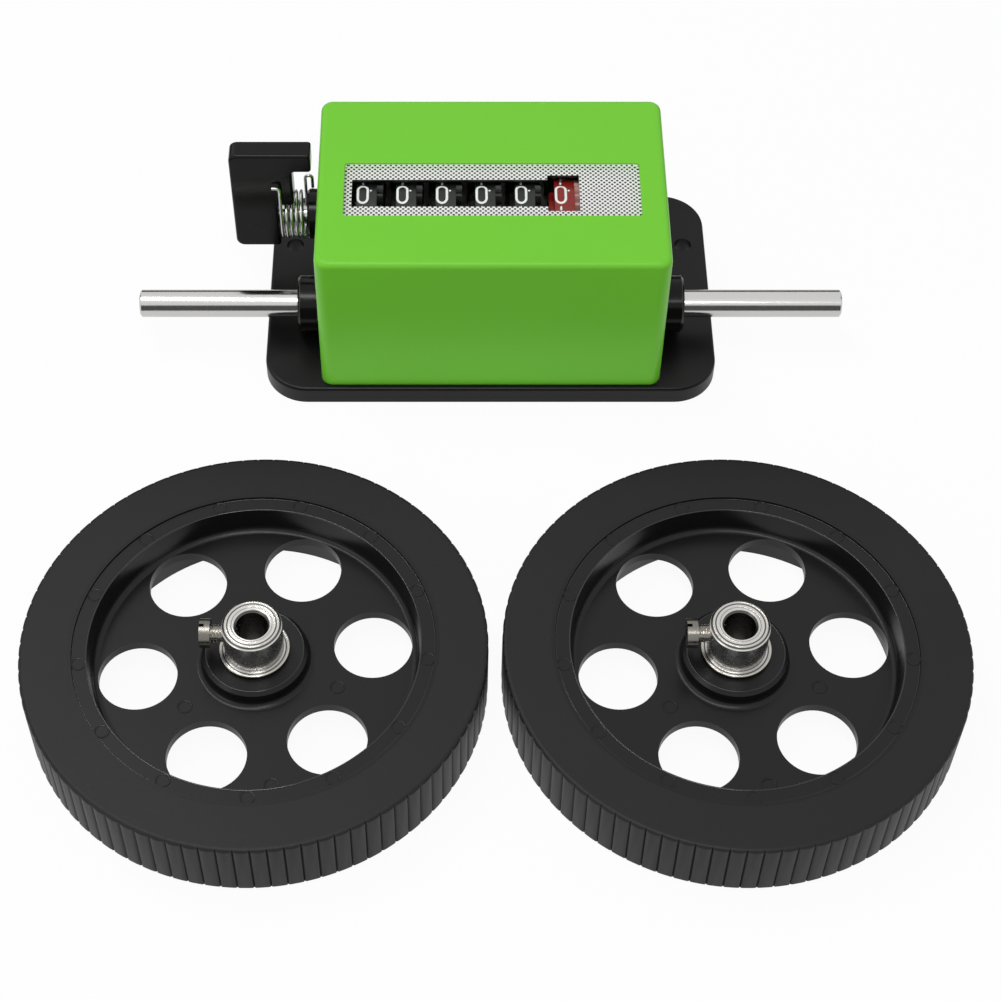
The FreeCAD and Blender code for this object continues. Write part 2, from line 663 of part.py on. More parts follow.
def pinion_axle():
    """Axle of the transfer pinions."""
    return cylinder_x(PINION_AXLE_R, PLATE_LEFT_X, PLATE_RIGHT_X + PLATE_T, PINION_Y, PINION_Z)


def transfer_pinion(index):
    """Eight-tooth pinion that carries from one drum to the next."""
    x0 = DRUM_X[index] + DRUM_HALF_W + PINION_SIDE_GAP
    x1 = DRUM_X[index + 1] - DRUM_HALF_W - PINION_SIDE_GAP
    line = angle_between(DRUM_Y, DRUM_Z, PINION_Y, PINION_Z)
    phase = meshed_phase(0, RING_TEETH, PINION_TEETH, line)
    pinion = gear_blank(PINION_TEETH, TRANSFER_MODULE, x1 - x0, x0, PINION_Y, PINION_Z, phase)
    return pinion.cut(cylinder_x(PINION_AXLE_R + RUN_FIT, x0 - OVERRUN, x1 + OVERRUN, PINION_Y, PINION_Z))


def reset_bush():
    """Boss on the left side of the housing, with a neck through the wall."""
    bore = RESET_SHAFT_R + RUN_FIT
    wall_out = COVER_W / 2
    end = wall_out + BUSH_L
    points = [(bore, INNER_HALF_W), (BUSH_NECK_R, INNER_HALF_W), (BUSH_NECK_R, wall_out),
              (BUSH_R, wall_out), (BUSH_R, end - BUSH_CHAMFER), (BUSH_R - BUSH_CHAMFER, end), (bore, end)]
    return turned([(r, -h) for r, h in points], (0, RESET_Y, RESET_Z), "x")


def lever_pin_x():
    """Where the cross pin goes through the lever's hub."""
    return (LEVER_LEFT_X + LEVER_PLATE_RIGHT_X) / 2


def lever_pin_hole(radius):
    """A bar across the lever's hub, front to back."""
    start = V(lever_pin_x(), RESET_Y - LEVER_HUB_R, RESET_Z)
    return Part.makeCylinder(radius, 2 * LEVER_HUB_R, start, AXIS_Y)


def reset_shaft():
    """Shaft from the lever to the right side plate."""
    shaft = cylinder_x(RESET_SHAFT_R, LEVER_LEFT_X + LEVER_EDGE, PLATE_RIGHT_X + PLATE_T, RESET_Y, RESET_Z)
    return shaft.cut(lever_pin_hole(PIN_R))


def reset_lever():
    """Thumb flag with a leaning left edge, round corners, an arm over the spring, and a hub."""
    z = RESET_Z
    front = RESET_Y - LEVER_HUB_R
    over_spring = z + SPRING_R + SPRING_WIRE_R + LEVER_SPRING_GAP
    outline = [(LEVER_LEFT_X, z + LEVER_BOTTOM), (LEVER_PLATE_RIGHT_X, z + LEVER_BOTTOM),
               (LEVER_PLATE_RIGHT_X, over_spring), (LEVER_NOTCH_X, over_spring),
               (LEVER_NOTCH_X, z + LEVER_ARM_BOTTOM), (LEVER_ARM_RIGHT_X, z + LEVER_ARM_BOTTOM),
               (LEVER_ARM_RIGHT_X, z + LEVER_TOP), (LEVER_LEFT_X, z + LEVER_TOP)]
    points = [V(x, front, h) for x, h in outline]
    flag = Part.Face(Part.makePolygon(points + points[:1])).extrude(V(0, LEVER_T, 0))
    across = [e for e in flag.Edges if e.BoundBox.YLength > LEVER_T / 2]
    flag = flag.makeFillet(LEVER_CORNER, [e for e in across if e.BoundBox.XMax < LEVER_LEFT_X + LEVER_EDGE])
    across = [e for e in flag.Edges if e.BoundBox.YLength > LEVER_T / 2]
    small = [e for e in across if e.BoundBox.XMin > LEVER_PLATE_RIGHT_X - LEVER_EDGE]
    flag = flag.makeFillet(LEVER_NOTCH_R, small)
    flag = flag.makeFillet(LEVER_EDGE, [e for e in flag.Edges if e.BoundBox.YMax < front + LEVER_EDGE])
    hub = cylinder_x(LEVER_HUB_R, LEVER_LEFT_X + LEVER_EDGE, LEVER_PLATE_RIGHT_X, RESET_Y, RESET_Z)
    lever = flag.fuse(hub)
    lever = lever.cut(cylinder_x(RESET_SHAFT_R, LEVER_LEFT_X - OVERRUN, LEVER_PLATE_RIGHT_X + OVERRUN,
                                 RESET_Y, RESET_Z))
    return lever.cut(lever_pin_hole(PIN_R))


def reset_comb():
    """Sleeve on the reset shaft with one hammer for each heart cam."""
    towards = angle_between(RESET_Y, RESET_Z, DRUM_Y, DRUM_Z) - math.radians(HAMMER_REST_BACK_DEG)
    middles = [x + DRUM_HALF_W + RING_W + HEART_T / 2 for x in DRUM_X]
    left = middles[0] - DRUM_HALF_W
    right = middles[-1] + HAMMER_W / 2
    comb = cylinder_x(COMB_R, left, right, RESET_Y, RESET_Z)
    hammers = []
    for middle in middles:
        outline = [(0, -HAMMER_BASE_HALF), (HAMMER_REACH, -HAMMER_TIP_HALF),
                   (HAMMER_REACH, HAMMER_TIP_HALF), (0, HAMMER_BASE_HALF)]
        points = []
        for out, side in outline:
            y = RESET_Y + out * math.cos(towards) - side * math.sin(towards)
            z = RESET_Z + out * math.sin(towards) + side * math.cos(towards)
            points.append(V(middle - HAMMER_W / 2, y, z))
        hammers.append(Part.Face(Part.makePolygon(points + points[:1])).extrude(V(HAMMER_W, 0, 0)))
    comb = comb.fuse(hammers)
    return comb.cut(cylinder_x(RESET_SHAFT_R, left - OVERRUN, right + OVERRUN, RESET_Y, RESET_Z))


def tangent_arc(start, tangent, end):
    """The arc that leaves start along tangent and reaches end."""
    chord = end - start
    along = V(chord).normalize()
    aside = tangent - along * tangent.dot(along)
    swing = math.atan2(aside.Length, tangent.dot(along))
    middle = start + chord * 0.5 + V(aside).normalize() * (chord.Length / 2 * math.tan(swing / 2))
    return Part.Arc(start, middle, end).toShape()


def helix_point(turn):
    """A point of the spring's centre line and its direction; turn 0 is at the front, going down."""
    angle = math.pi + 2 * math.pi * turn
    x = SPRING_LEFT_X + SPRING_PITCH * turn
    at = V(x, RESET_Y + SPRING_R * math.cos(angle), RESET_Z + SPRING_R * math.sin(angle))
    slope = V(SPRING_PITCH / (2 * math.pi), -SPRING_R * math.sin(angle), SPRING_R * math.cos(angle))
    return at, slope.normalize()


def least_self_gap(path):
    """Least clear distance of the spring's wire to itself, measured on points along its centre line."""
    points = path.discretize(Number=SPRING_POINTS)
    step = path.Length / (SPRING_POINTS - 1)
    apart = int(math.pi * SPRING_R / step)
    least = min(points[i].distanceToPoint(points[j])
                for i in range(SPRING_POINTS) for j in range(i + apart, SPRING_POINTS))
    return least - 2 * SPRING_WIRE_R


def reset_spring():
    """Torsion spring: one unbroken wire, a leg up at the front left and at the back right."""
    edges = []
    at, slope = helix_point(0)
    for k in range(int(SPRING_TURNS / SPRING_STEP_SHARE)):
        after, next_slope = helix_point((k + 1) * SPRING_STEP_SHARE)
        span = after - at
        both = slope + next_slope
        flat = 2 * (1 - slope.dot(next_slope))
        reach = (-span.dot(both) + math.sqrt(span.dot(both) ** 2 + flat * span.dot(span))) / flat
        joint = (at + after + (slope - next_slope) * reach) * 0.5
        first = tangent_arc(at, slope, joint)
        last = tangent_arc(after, next_slope * -1, joint)
        middle = last.valueAt((last.FirstParameter + last.LastParameter) / 2)
        edges += [first, Part.Arc(joint, middle, after).toShape()]
        at, slope = after, next_slope
    top_end = helix_point(SPRING_TURNS)
    low_end = helix_point(0)
    right_leg = leg_edges(top_end[0], top_end[1], SPRING_RIGHT_LEG, AXIS_X)
    right_leg += hook_edges(right_leg[-1], top_end[1], SPRING_RIGHT_HOOK)
    left_leg = leg_edges(low_end[0], low_end[1] * -1, SPRING_LEFT_LEG, AXIS_X * -1)
    edges = [reversed_edge(e) for e in reversed(left_leg)] + edges + right_leg
    path = Part.Wire(edges)
    start = edges[0].valueAt(edges[0].FirstParameter)
    heading = edges[0].tangentAt(edges[0].FirstParameter)
    profile = Part.Wire(Part.Circle(start, heading, SPRING_WIRE_R).toShape())
    solid = path.makePipeShell([profile], True, False)
    gap = round(least_self_gap(path), 3)
    print("spring: least gap to itself", gap, "mm, length", round(path.Length, 1), "mm")
    return solid


def reversed_edge(edge):
    """The same straight or round edge, run the other way."""
    a = edge.valueAt(edge.FirstParameter)
    b = edge.valueAt(edge.LastParameter)
    m = edge.valueAt((edge.FirstParameter + edge.LastParameter) / 2)
    if edge.Curve.TypeId == "Part::GeomLine":
        return Part.LineSegment(b, a).toShape()
    return Part.Arc(b, m, a).toShape()


def leg_edges(start, direction, length, sideways):
    """A straight leg that leaves the coil and bends sideways into a short foot."""
    out = (sideways - direction * sideways.dot(direction)).normalize()
    bend = start + direction * length
    after = bend + direction * SPRING_BEND_R + out * SPRING_BEND_R
    tip = after + out * SPRING_LEFT_HOOK
    return [Part.LineSegment(start, bend).toShape(), tangent_arc(bend, direction, after),
            Part.LineSegment(after, tip).toShape()]


def hook_edges(last, direction, length):
    """The foot of a leg bent back down beside the leg, as a hook."""
    start = last.valueAt(last.LastParameter)
    out = last.tangentAt(last.LastParameter)
    after = start + out * SPRING_BEND_R - direction * SPRING_BEND_R
    return [tangent_arc(start, out, after), Part.LineSegment(after, after - direction * length).toShape()]


def wheel_centre(side):
    """Centre of a loose wheel where it touches the bench."""
    return side * WHEEL_X, WHEEL_Y


def tyre(side):
    """Rubber tyre with narrow cross grooves between wide ribs."""
    cx, cy = wheel_centre(side)
    step = 2 * math.pi / TREAD_COUNT
    groove = step * GROOVE_SHARE
    points = []
    for k in range(TREAD_COUNT):
        a = k * step
        low = WHEEL_R - GROOVE_DEPTH
        ridge = [(WHEEL_R, a + groove / 2), (WHEEL_R, a + step - groove / 2),
                 (low, a + step - groove / 4), (low, a + step + groove / 4)]
        points += [V(cx + r * math.cos(t), cy + r * math.sin(t), 0) for r, t in ridge]
    blank = Part.Face(Part.makePolygon(points + points[:1])).extrude(V(0, 0, WHEEL_T))
    edge = TYRE_EDGE
    section = [(TYRE_INNER_R, 0), (WHEEL_R - edge, 0), (WHEEL_R + OVERRUN - edge, OVERRUN),
               (WHEEL_R + OVERRUN - edge, WHEEL_T - OVERRUN), (WHEEL_R - edge, WHEEL_T),
               (TYRE_INNER_R, WHEEL_T)]
    return blank.common(turned(section, (cx, cy, 0), "z"))


def boss_top():
    """Height of the plastic boss on which the steel flange sits."""
    return WHEEL_T / 2 + WEB_T / 2 + HUB_BOSS_RISE


def wheel(side):
    """Black moulded wheel: rim with a step, web with six holes, and a boss on both sides."""
    cx, cy = wheel_centre(side)
    web_low = (WHEEL_T - WEB_T) / 2
    web_high = (WHEEL_T + WEB_T) / 2
    top = boss_top()
    low = WHEEL_T - top
    inner = HUB_SHANK_R + SNUG
    draft_r = RIM_INNER_R - RIM_DRAFT
    edge = HUB_BOSS_EDGE
    points = [(inner, low), (HUB_BOSS_R - edge, low), (HUB_BOSS_R, low + edge), (HUB_BOSS_R, web_low),
              (draft_r, web_low), (RIM_INNER_R, RIM_STEP), (RIM_STEP_R, RIM_STEP), (RIM_STEP_R, 0),
              (TYRE_INNER_R, 0), (TYRE_INNER_R, WHEEL_T), (RIM_STEP_R, WHEEL_T),
              (RIM_STEP_R, WHEEL_T - RIM_STEP), (RIM_INNER_R, WHEEL_T - RIM_STEP), (draft_r, web_high),
              (HUB_BOSS_R, web_high), (HUB_BOSS_R, top - edge), (HUB_BOSS_R - edge, top), (inner, top)]
    body = turned(points, (cx, cy, 0), "z")
    corners = []
    for candidate in body.Edges:
        bounds = candidate.BoundBox
        radius = bounds.XLength / 2
        at_web = abs(bounds.ZMin - web_high) < SNUG or abs(bounds.ZMin - web_low) < SNUG
        if at_web and bounds.ZLength < SNUG and radius > HUB_BOSS_R - edge:
            corners.append(candidate)
    body = body.makeFillet(WEB_FILLET, corners)
    for k in range(HOLE_COUNT):
        a = math.radians(HOLE_PHASE_DEG) + 2 * math.pi * k / HOLE_COUNT
        at = V(cx + HOLE_CIRCLE_R * math.cos(a), cy + HOLE_CIRCLE_R * math.sin(a), 0)
        body = body.cut(Part.makeCylinder(HOLE_R, WHEEL_T, at))
    return body


def hub_top():
    """Height of the top of the steel hub."""
    return boss_top() + HUB_FLANGE_T + HUB_RISE


def hub(side):
    """Turned steel hub with a flange, chamfered ends and the clamp screw's cross hole."""
    cx, cy = wheel_centre(side)
    bore = SHAFT_R + RUN_FIT
    low = WHEEL_T - boss_top()
    flange = boss_top()
    top = hub_top()
    c = HUB_CHAMFER
    points = [(bore, low + c), (bore + c, low), (HUB_SHANK_R, low), (HUB_SHANK_R, flange),
              (HUB_FLANGE_R, flange), (HUB_FLANGE_R, flange + HUB_FLANGE_T), (HUB_R, flange + HUB_FLANGE_T),
              (HUB_R, top - c), (HUB_R - c, top), (bore + c, top), (bore, top - c)]
    body = turned(points, (cx, cy, 0), "z")
    hole = cylinder_x(HUB_SCREW_R + HUB_SCREW_FIT, cx - HUB_R - OVERRUN, cx, cy, top - HUB_SCREW_DROP)
    return body.cut(hole)


def hub_screw(side):
    """Slotted clamp screw that points at the bore from the left."""
    cx, cy = wheel_centre(side)
    z = hub_top() - HUB_SCREW_DROP
    tip = cx - SHAFT_R - RUN_FIT - HUB_SCREW_TIP_GAP
    under = cx - HUB_R - HUB_SCREW_SHOW
    shank = cylinder_x(HUB_SCREW_R, under, tip, cy, z)
    head = cylinder_x(HUB_SCREW_HEAD_R, under - HUB_SCREW_HEAD_T, under, cy, z)
    slot = box(under - HUB_SCREW_HEAD_T - OVERRUN, under - HUB_SCREW_HEAD_T + HUB_SLOT_DEPTH,
               cy - HUB_SLOT_W / 2, cy + HUB_SLOT_W / 2, z - HUB_SCREW_HEAD_R - OVERRUN,
               z + HUB_SCREW_HEAD_R + OVERRUN)
    return shank.fuse(head).cut(slot)


def build():
    """Every node of the counter by name."""
    nodes = {
        "base_plate": base_plate(),
        "cover": cover(),
        "window_lens": window_lens(),
        "window_mask": window_mask(),
        "frame_left": side_plate(PLATE_LEFT_X, "left"),
        "frame_right": side_plate(PLATE_RIGHT_X, "right"),
        "tie_bars": tie_bars(),
        "bearing_left": bearing(-1),
        "bearing_right": bearing(1),
        "cover_screws": screws(cover_screw_places(), COVER_SCREW_L),
        "frame_screws": screws(frame_screw_places(), BASE_T + PLATE_T),
        "digit_axle": digit_axle(),
        "axle_spacers": axle_spacers(),
        "pinion_axle": pinion_axle(),
        "idler_stub": idler_stub(),
        "reset_bush": reset_bush(),
        "main_shaft": main_shaft(),
        "drive_gear": drive_gear(),
        "shaft_rings": shaft_rings(),
        "idler_gear": idler_gear(),
        "units_gear": units_gear(),
        "reset_lever": reset_lever(),
        "reset_shaft": reset_shaft(),
        "lever_pin": lever_pin_hole(PIN_R),
        "reset_comb": reset_comb(),
        "reset_spring": reset_spring(),
    }
    for index in range(DRUM_COUNT):
        nodes["digit_drum_" + str(index + 1)] = digit_drum(index)
    for index in range(DRUM_COUNT - 1):
        nodes["transfer_pinion_" + str(index + 1)] = transfer_pinion(index)
    for name, side in (("left", -1), ("right", 1)):
        nodes["tyre_" + name] = tyre(side)
        nodes["wheel_" + name] = wheel(side)
        nodes["hub_" + name] = hub(side)
        nodes["hub_screw_" + name] = hub_screw(side)
    return nodes


os.makedirs("parts", exist_ok=True)
for node_name, node_shape in build().items():
    if not node_shape.isValid():
        print("invalid", node_name)
    node_shape.exportStep("parts/" + node_name + ".step")
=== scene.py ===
"""Cable length counter: finishes, numerals, tread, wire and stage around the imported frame.

Every length is in metres. A piece takes its place from the frame's boxes, so it follows the part.
"""
import math

import bmesh
import bpy
import numpy as np
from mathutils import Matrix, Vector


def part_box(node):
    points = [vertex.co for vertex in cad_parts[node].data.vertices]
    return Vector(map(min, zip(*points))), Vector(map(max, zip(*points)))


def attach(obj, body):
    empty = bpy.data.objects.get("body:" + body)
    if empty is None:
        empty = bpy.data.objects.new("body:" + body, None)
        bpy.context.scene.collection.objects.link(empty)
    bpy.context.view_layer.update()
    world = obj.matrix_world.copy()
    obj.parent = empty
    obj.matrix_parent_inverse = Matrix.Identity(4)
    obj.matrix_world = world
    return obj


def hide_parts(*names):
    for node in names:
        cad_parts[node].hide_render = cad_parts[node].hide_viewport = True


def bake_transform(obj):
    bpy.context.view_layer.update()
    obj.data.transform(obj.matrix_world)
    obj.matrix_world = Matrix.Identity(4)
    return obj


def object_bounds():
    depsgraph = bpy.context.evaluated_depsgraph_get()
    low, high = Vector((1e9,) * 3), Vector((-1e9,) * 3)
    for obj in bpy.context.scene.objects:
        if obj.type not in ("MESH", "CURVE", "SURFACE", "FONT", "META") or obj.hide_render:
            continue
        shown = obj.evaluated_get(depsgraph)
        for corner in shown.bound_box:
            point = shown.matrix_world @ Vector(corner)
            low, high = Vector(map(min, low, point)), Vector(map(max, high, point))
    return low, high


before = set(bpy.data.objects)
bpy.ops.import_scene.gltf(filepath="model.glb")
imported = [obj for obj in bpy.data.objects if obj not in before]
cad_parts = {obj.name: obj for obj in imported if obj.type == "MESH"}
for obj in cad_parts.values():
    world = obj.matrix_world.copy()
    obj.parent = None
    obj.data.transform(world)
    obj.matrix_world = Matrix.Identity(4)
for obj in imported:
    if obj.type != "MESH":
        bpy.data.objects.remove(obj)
cad_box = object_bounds()

bl_info = {
    "name": "Cable length counter",
    "version": (1, 0, 0),
    "blender": (4, 5, 0),
    "location": "View3D > Sidebar > Counter",
    "description": "Finishes and fine pieces of a cable length counter",
    "category": "Object",
}

MM = 0.001
SIDES = ("left", "right")
DRUMS = 6
DIGITS = 10
PICTURE_PX = 1001
SENSOR_MM = 36.0
SHARP_DEG = 35.0
MERGE_DISTANCE = 1e-7
SMALLEST_EDGE = 1e-8
NOISE_DETAIL = 3.0
NOISE_ROUGHNESS = 0.55
MOTTLE_GRAIN = 22 * MM
LEG_POINTS = 12
BEND_POINTS = 7


def linear(code):
    """An sRGB hex colour as linear red, green, blue and alpha."""
    srgb = np.array([int(code[i:i + 2], 16) for i in (0, 2, 4)]) / 255
    low = srgb / 12.92
    high = ((srgb + 0.055) / 1.055) ** 2.4
    return [float(c) for c in np.where(srgb <= 0.04045, low, high)] + [1.0]


def colour_property(name, description, code):
    """A colour that a user can change, with its sRGB hex default."""
    return bpy.props.FloatVectorProperty(
        name=name, description=description, default=linear(code)[:3], size=3, subtype="COLOR",
        min=0.0, max=1.0)


def length_property(name, description, millimetres):
    """A length that a user can change, given in millimetres and kept in metres."""
    return bpy.props.FloatProperty(name=name, description=description, default=millimetres * MM,
                                   unit="LENGTH", precision=5)


# Shapes

def grid_faces(rows, columns, wrap_rows, wrap_columns):
    """Quads of a grid of points, row by row; a wrapped direction joins its last line to its first."""
    i, j = np.meshgrid(np.arange(rows if wrap_rows else rows - 1),
                       np.arange(columns if wrap_columns else columns - 1), indexing="ij")
    after_i = (i + 1) % rows
    after_j = (j + 1) % columns
    corners = (i * columns + j, after_i * columns + j, after_i * columns + after_j, i * columns + after_j)
    return np.stack(corners, axis=-1).reshape(-1, 4)


def place(piece_name, grids, material, body):
    """One mesh object of several closed grids, riding on a body where one is named.

    Each grid is (points of shape rows x columns x 3, wrap rows, wrap columns, cap the open ends).
    Doubles are merged, so a grid line on an axis becomes a closed pole, and normals point outwards.
    """
    mesh = bpy.data.meshes.new(piece_name)
    points = []
    faces = []
    start = 0
    for grid, wrap_rows, wrap_columns, capped in grids:
        rows, columns = grid.shape[:2]
        faces += (grid_faces(rows, columns, wrap_rows, wrap_columns) + start).tolist()
        if capped:
            faces.append(list(range(start, start + columns)))
            faces.append(list(range(start + (rows - 1) * columns, start + rows * columns)))
        points.append(grid.reshape(-1, 3))
        start += rows * columns
    mesh.from_pydata(np.concatenate(points).tolist(), [], faces)
    work = bmesh.new()
    work.from_mesh(mesh)
    bmesh.ops.remove_doubles(work, verts=work.verts, dist=MERGE_DISTANCE)
    bmesh.ops.dissolve_degenerate(work, dist=SMALLEST_EDGE, edges=work.edges)
    bmesh.ops.recalc_face_normals(work, faces=work.faces)
    work.to_mesh(mesh)
    work.free()
    mesh.shade_smooth()
    mesh.set_sharp_from_angle(angle=math.radians(SHARP_DEG))
    mesh.materials.append(material)
    piece = bpy.data.objects.new(piece_name, mesh)
    bpy.context.scene.collection.objects.link(piece)
    if body:
        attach(piece, body)
    return piece


def turned(profile, centre, steps):
    """Surface of revolution about a vertical line: (r, z) goes to (x + r cos a, y + r sin a, z)."""
    angle = np.arange(steps) * 2 * math.pi / steps
    radius = profile[None, :, 0]
    grid = np.stack((centre[0] + radius * np.cos(angle)[:, None],
                     centre[1] + radius * np.sin(angle)[:, None],
                     np.broadcast_to(centre[2] + profile[None, :, 1], (steps, len(profile)))), axis=-1)
    return grid, True, True, False


def sweep(path, side, section):
    """A closed section carried along a path.

    At each point the frame is the tangent, the side vector made square to it, and their cross
    product; a section point (p, q) goes to path + p * side + q * (tangent x side).
    """
    tangent = np.gradient(path, axis=0)
    tangent /= np.linalg.norm(tangent, axis=1, keepdims=True)
    side = side - tangent * np.sum(side * tangent, axis=1, keepdims=True)
    side /= np.linalg.norm(side, axis=1, keepdims=True)
    up = np.cross(tangent, side)
    grid = (path[:, None, :] + section[None, :, :1] * side[:, None, :]
            + section[None, :, 1:] * up[:, None, :])
    return grid, False, True, True


def arc(centre, radii, first_deg, last_deg, steps):
    """Points (x + a cos t, y + b sin t) of an ellipse's arc from one angle to another."""
    t = np.radians(np.linspace(first_deg, last_deg, steps))
    return np.stack((centre[0] + radii[0] * np.cos(t), centre[1] + radii[1] * np.sin(t)), axis=-1)


def middle_of(node):
    """The middle of a frame node's box and its half size."""
    low, high = (np.array(corner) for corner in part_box(node))
    return (low + high) / 2, (high - low) / 2


# Materials

def add(tree, kind, values=None, links=None, **settings):
    """Adds one node, sets its properties and input values, links its inputs and returns it."""
    node = tree.nodes.new(kind)
    for key, value in settings.items():
        setattr(node, key, value)
    for key, value in (values or {}).items():
        node.inputs[key].default_value = value
    for key, socket in (links or {}).items():
        tree.links.new(socket, node.inputs[key])
    return node


def new_material(name):
    """An empty node material with its output."""
    material = bpy.data.materials.new(name)
    material.use_nodes = True
    tree = material.node_tree
    tree.nodes.clear()
    return material, tree, tree.nodes.new("ShaderNodeOutputMaterial")


def calc(tree, operation, *terms, clamp=False):
    """The value of one math operation on sockets and numbers, in the order given."""
    node = add(tree, "ShaderNodeMath", operation=operation, use_clamp=clamp)
    for k, term in enumerate(terms):
        if isinstance(term, bpy.types.NodeSocket):
            tree.links.new(term, node.inputs[k])
        else:
            node.inputs[k].default_value = term
    return node.outputs["Value"]


def remap(tree, value, to_low, to_high, from_low=0.0, from_high=1.0):
    """A value carried from one range to another and held at its ends."""
    limits = {"From Min": from_low, "From Max": from_high, "To Min": to_low, "To Max": to_high}
    return add(tree, "ShaderNodeMapRange", limits, {"Value": value}).outputs["Result"]


def bumped(tree, height, depth):
    """The surface's normal with bumps of that depth."""
    return add(tree, "ShaderNodeBump", {"Strength": 1.0, "Distance": depth},
               {"Height": height}).outputs["Normal"]


def two_tone(tree, share, dark, pale):
    """The dark colour where the share is 0 and the pale one where it is 1."""
    return add(tree, "ShaderNodeMix", {"A": (*dark, 1.0), "B": (*pale, 1.0)}, {"Factor": share},
               data_type="RGBA").outputs["Result"]


def mixed(tree, share, first, second):
    """The first shader where the share is 0 and the second where it is 1."""
    return add(tree, "ShaderNodeMixShader", {}, {0: share, 1: first, 2: second}).outputs["Shader"]


def surface_texture(tree, grain, stretch=(1.0, 1.0, 1.0), centre=(0.0, 0.0, 0.0)):
    """Noise whose lumps are one grain across, in the part's own coordinates."""
    here = add(tree, "ShaderNodeTexCoord")
    mapped = add(tree, "ShaderNodeMapping",
                 {"Location": [-c * s for c, s in zip(centre, stretch)], "Scale": stretch},
                 {"Vector": here.outputs["Object"]})
    return add(tree, "ShaderNodeTexNoise",
               {"Scale": 1 / grain, "Detail": NOISE_DETAIL, "Roughness": NOISE_ROUGHNESS},
               {"Vector": mapped.outputs["Vector"]}).outputs["Fac"]


def shaded(name, colour, *, roughness, grain_mm, depth_mm, spread=0.06, tint=0.06, metallic=0.0,
           stretch=(1.0, 1.0, 1.0), **sockets):
    """A solid finish: a grain drives the bump and roughness, and a broad mottle the colour."""
    material, tree, output = new_material(name)
    grain = surface_texture(tree, grain_mm * MM, stretch)
    shade = remap(tree, surface_texture(tree, MOTTLE_GRAIN), 1 - tint, 1 + tint)
    tone = add(tree, "ShaderNodeVectorMath", {0: list(colour)[:3]}, {"Scale": shade}, operation="SCALE")
    values = {"Metallic": metallic}
    values.update({key.replace("_", " "): value for key, value in sockets.items()})
    shader = add(tree, "ShaderNodeBsdfPrincipled", values,
                 {"Base Color": tone.outputs["Vector"],
                  "Roughness": remap(tree, grain, roughness - spread, roughness + spread),
                  "Normal": bumped(tree, grain, depth_mm * MM)})
    tree.links.new(shader.outputs["BSDF"], output.inputs["Surface"])
    return material


def moulded_green_abs(colours):
    """Gloss ABS straight from a polished mould: an even colour and soft wide highlights."""
    return shaded("moulded_green_abs", colours.housing, roughness=0.3, grain_mm=0.6, depth_mm=0.006,
                  spread=0.04, tint=0.02, IOR=1.53, Specular_IOR_Level=0.2)


def moulded_black_abs(colours):
    """Satin black ABS of the base: light catches only on its edges."""
    return shaded("moulded_black_abs", colours.black, roughness=0.38, grain_mm=0.5, depth_mm=0.006,
                  IOR=1.53, Specular_IOR_Level=0.22)


def gloss_black_nylon(colours):
    """Black nylon of the lever, bush and bearings, smoother than the base, with sharp edge lights."""
    return shaded("gloss_black_nylon", colours.black, roughness=0.18, grain_mm=0.8, depth_mm=0.003,
                  IOR=1.53, Specular_IOR_Level=0.15)


def moulded_wheel_nylon(colours):
    """Charcoal filled nylon of the wheels: matt, with a very fine spark-eroded grain."""
    return shaded("moulded_wheel_nylon", colours.wheel, roughness=0.3, grain_mm=0.35, depth_mm=0.004,
                  IOR=1.53, Specular_IOR_Level=0.22)


def burnished_nylon(colours):
    """Nylon that a polished edge of the mould left glossy, so that thin rings catch the light."""
    return shaded("burnished_nylon", colours.wheel, roughness=0.16, grain_mm=0.5, depth_mm=0.002,
                  spread=0.03, IOR=1.53, Specular_IOR_Level=0.5)


def matt_tyre_rubber(colours):
    """Moulded rubber, lighter and duller than the wheel, with faint streaks across the tread."""
    return shaded("matt_tyre_rubber", colours.tyre, roughness=0.46, grain_mm=0.9, depth_mm=0.02,
                  tint=0.25, IOR=1.52, Specular_IOR_Level=0.23, stretch=(1.0, 1.0, 0.06))


def ground_steel(colours):
    """Ground and polished steel bar: fine marks run round it, so its lights stay long and clean."""
    return shaded("ground_steel", colours.steel, roughness=0.16, grain_mm=0.25, depth_mm=0.0012,
                  spread=0.05, tint=0.03, metallic=1.0, stretch=(1.0, 0.06, 0.06))


def plated_steel(colours):
    """Bright zinc plate on small turned parts, slightly warm and uneven."""
    return shaded("plated_steel", colours.plate, roughness=0.24, grain_mm=0.5, depth_mm=0.004,
                  spread=0.1, tint=0.08, metallic=1.0)


def dulled_steel(colours):
    """The clamp screws' steel, dulled by handling, so that their heads stay darker than the hubs."""
    return shaded("dulled_steel", colours.dulled, roughness=0.26, grain_mm=0.5, depth_mm=0.006,
                  spread=0.12, tint=0.2, metallic=1.0)


def drawn_spring_wire(colours):
    """Drawn spring wire: bright, with a fine even grain."""
    return shaded("drawn_spring_wire", colours.steel, roughness=0.22, grain_mm=0.3, depth_mm=0.002,
                  spread=0.08, metallic=1.0)


def rolled_sheet_steel(colours):
    """Rolled zinc-plated sheet of the two side plates, dull and streaked front to back."""
    return shaded("rolled_sheet_steel", colours.plate, roughness=0.42, grain_mm=0.6, depth_mm=0.003,
                  spread=0.1, metallic=1.0, stretch=(1.0, 0.1, 1.0))


def turned_brass(colours):
    """Turned brass with a soft yellow sheen."""
    return shaded("turned_brass", colours.brass, roughness=0.28, grain_mm=0.3, depth_mm=0.002,
                  metallic=1.0)


def blackened_steel(colours):
    """Black oxide on the small cross pin of the lever, which hardly shows in its hole."""
    return shaded("blackened_steel", colours.black, roughness=0.4, grain_mm=0.4, depth_mm=0.004,
                  IOR=1.5, Specular_IOR_Level=0.2)


def pink_acetal(colours):
    """Pink acetal of the gear beside the red drum, whose teeth show pale in the window."""
    return shaded("pink_acetal", colours.pink, roughness=0.36, grain_mm=0.5, depth_mm=0.004, IOR=1.48)


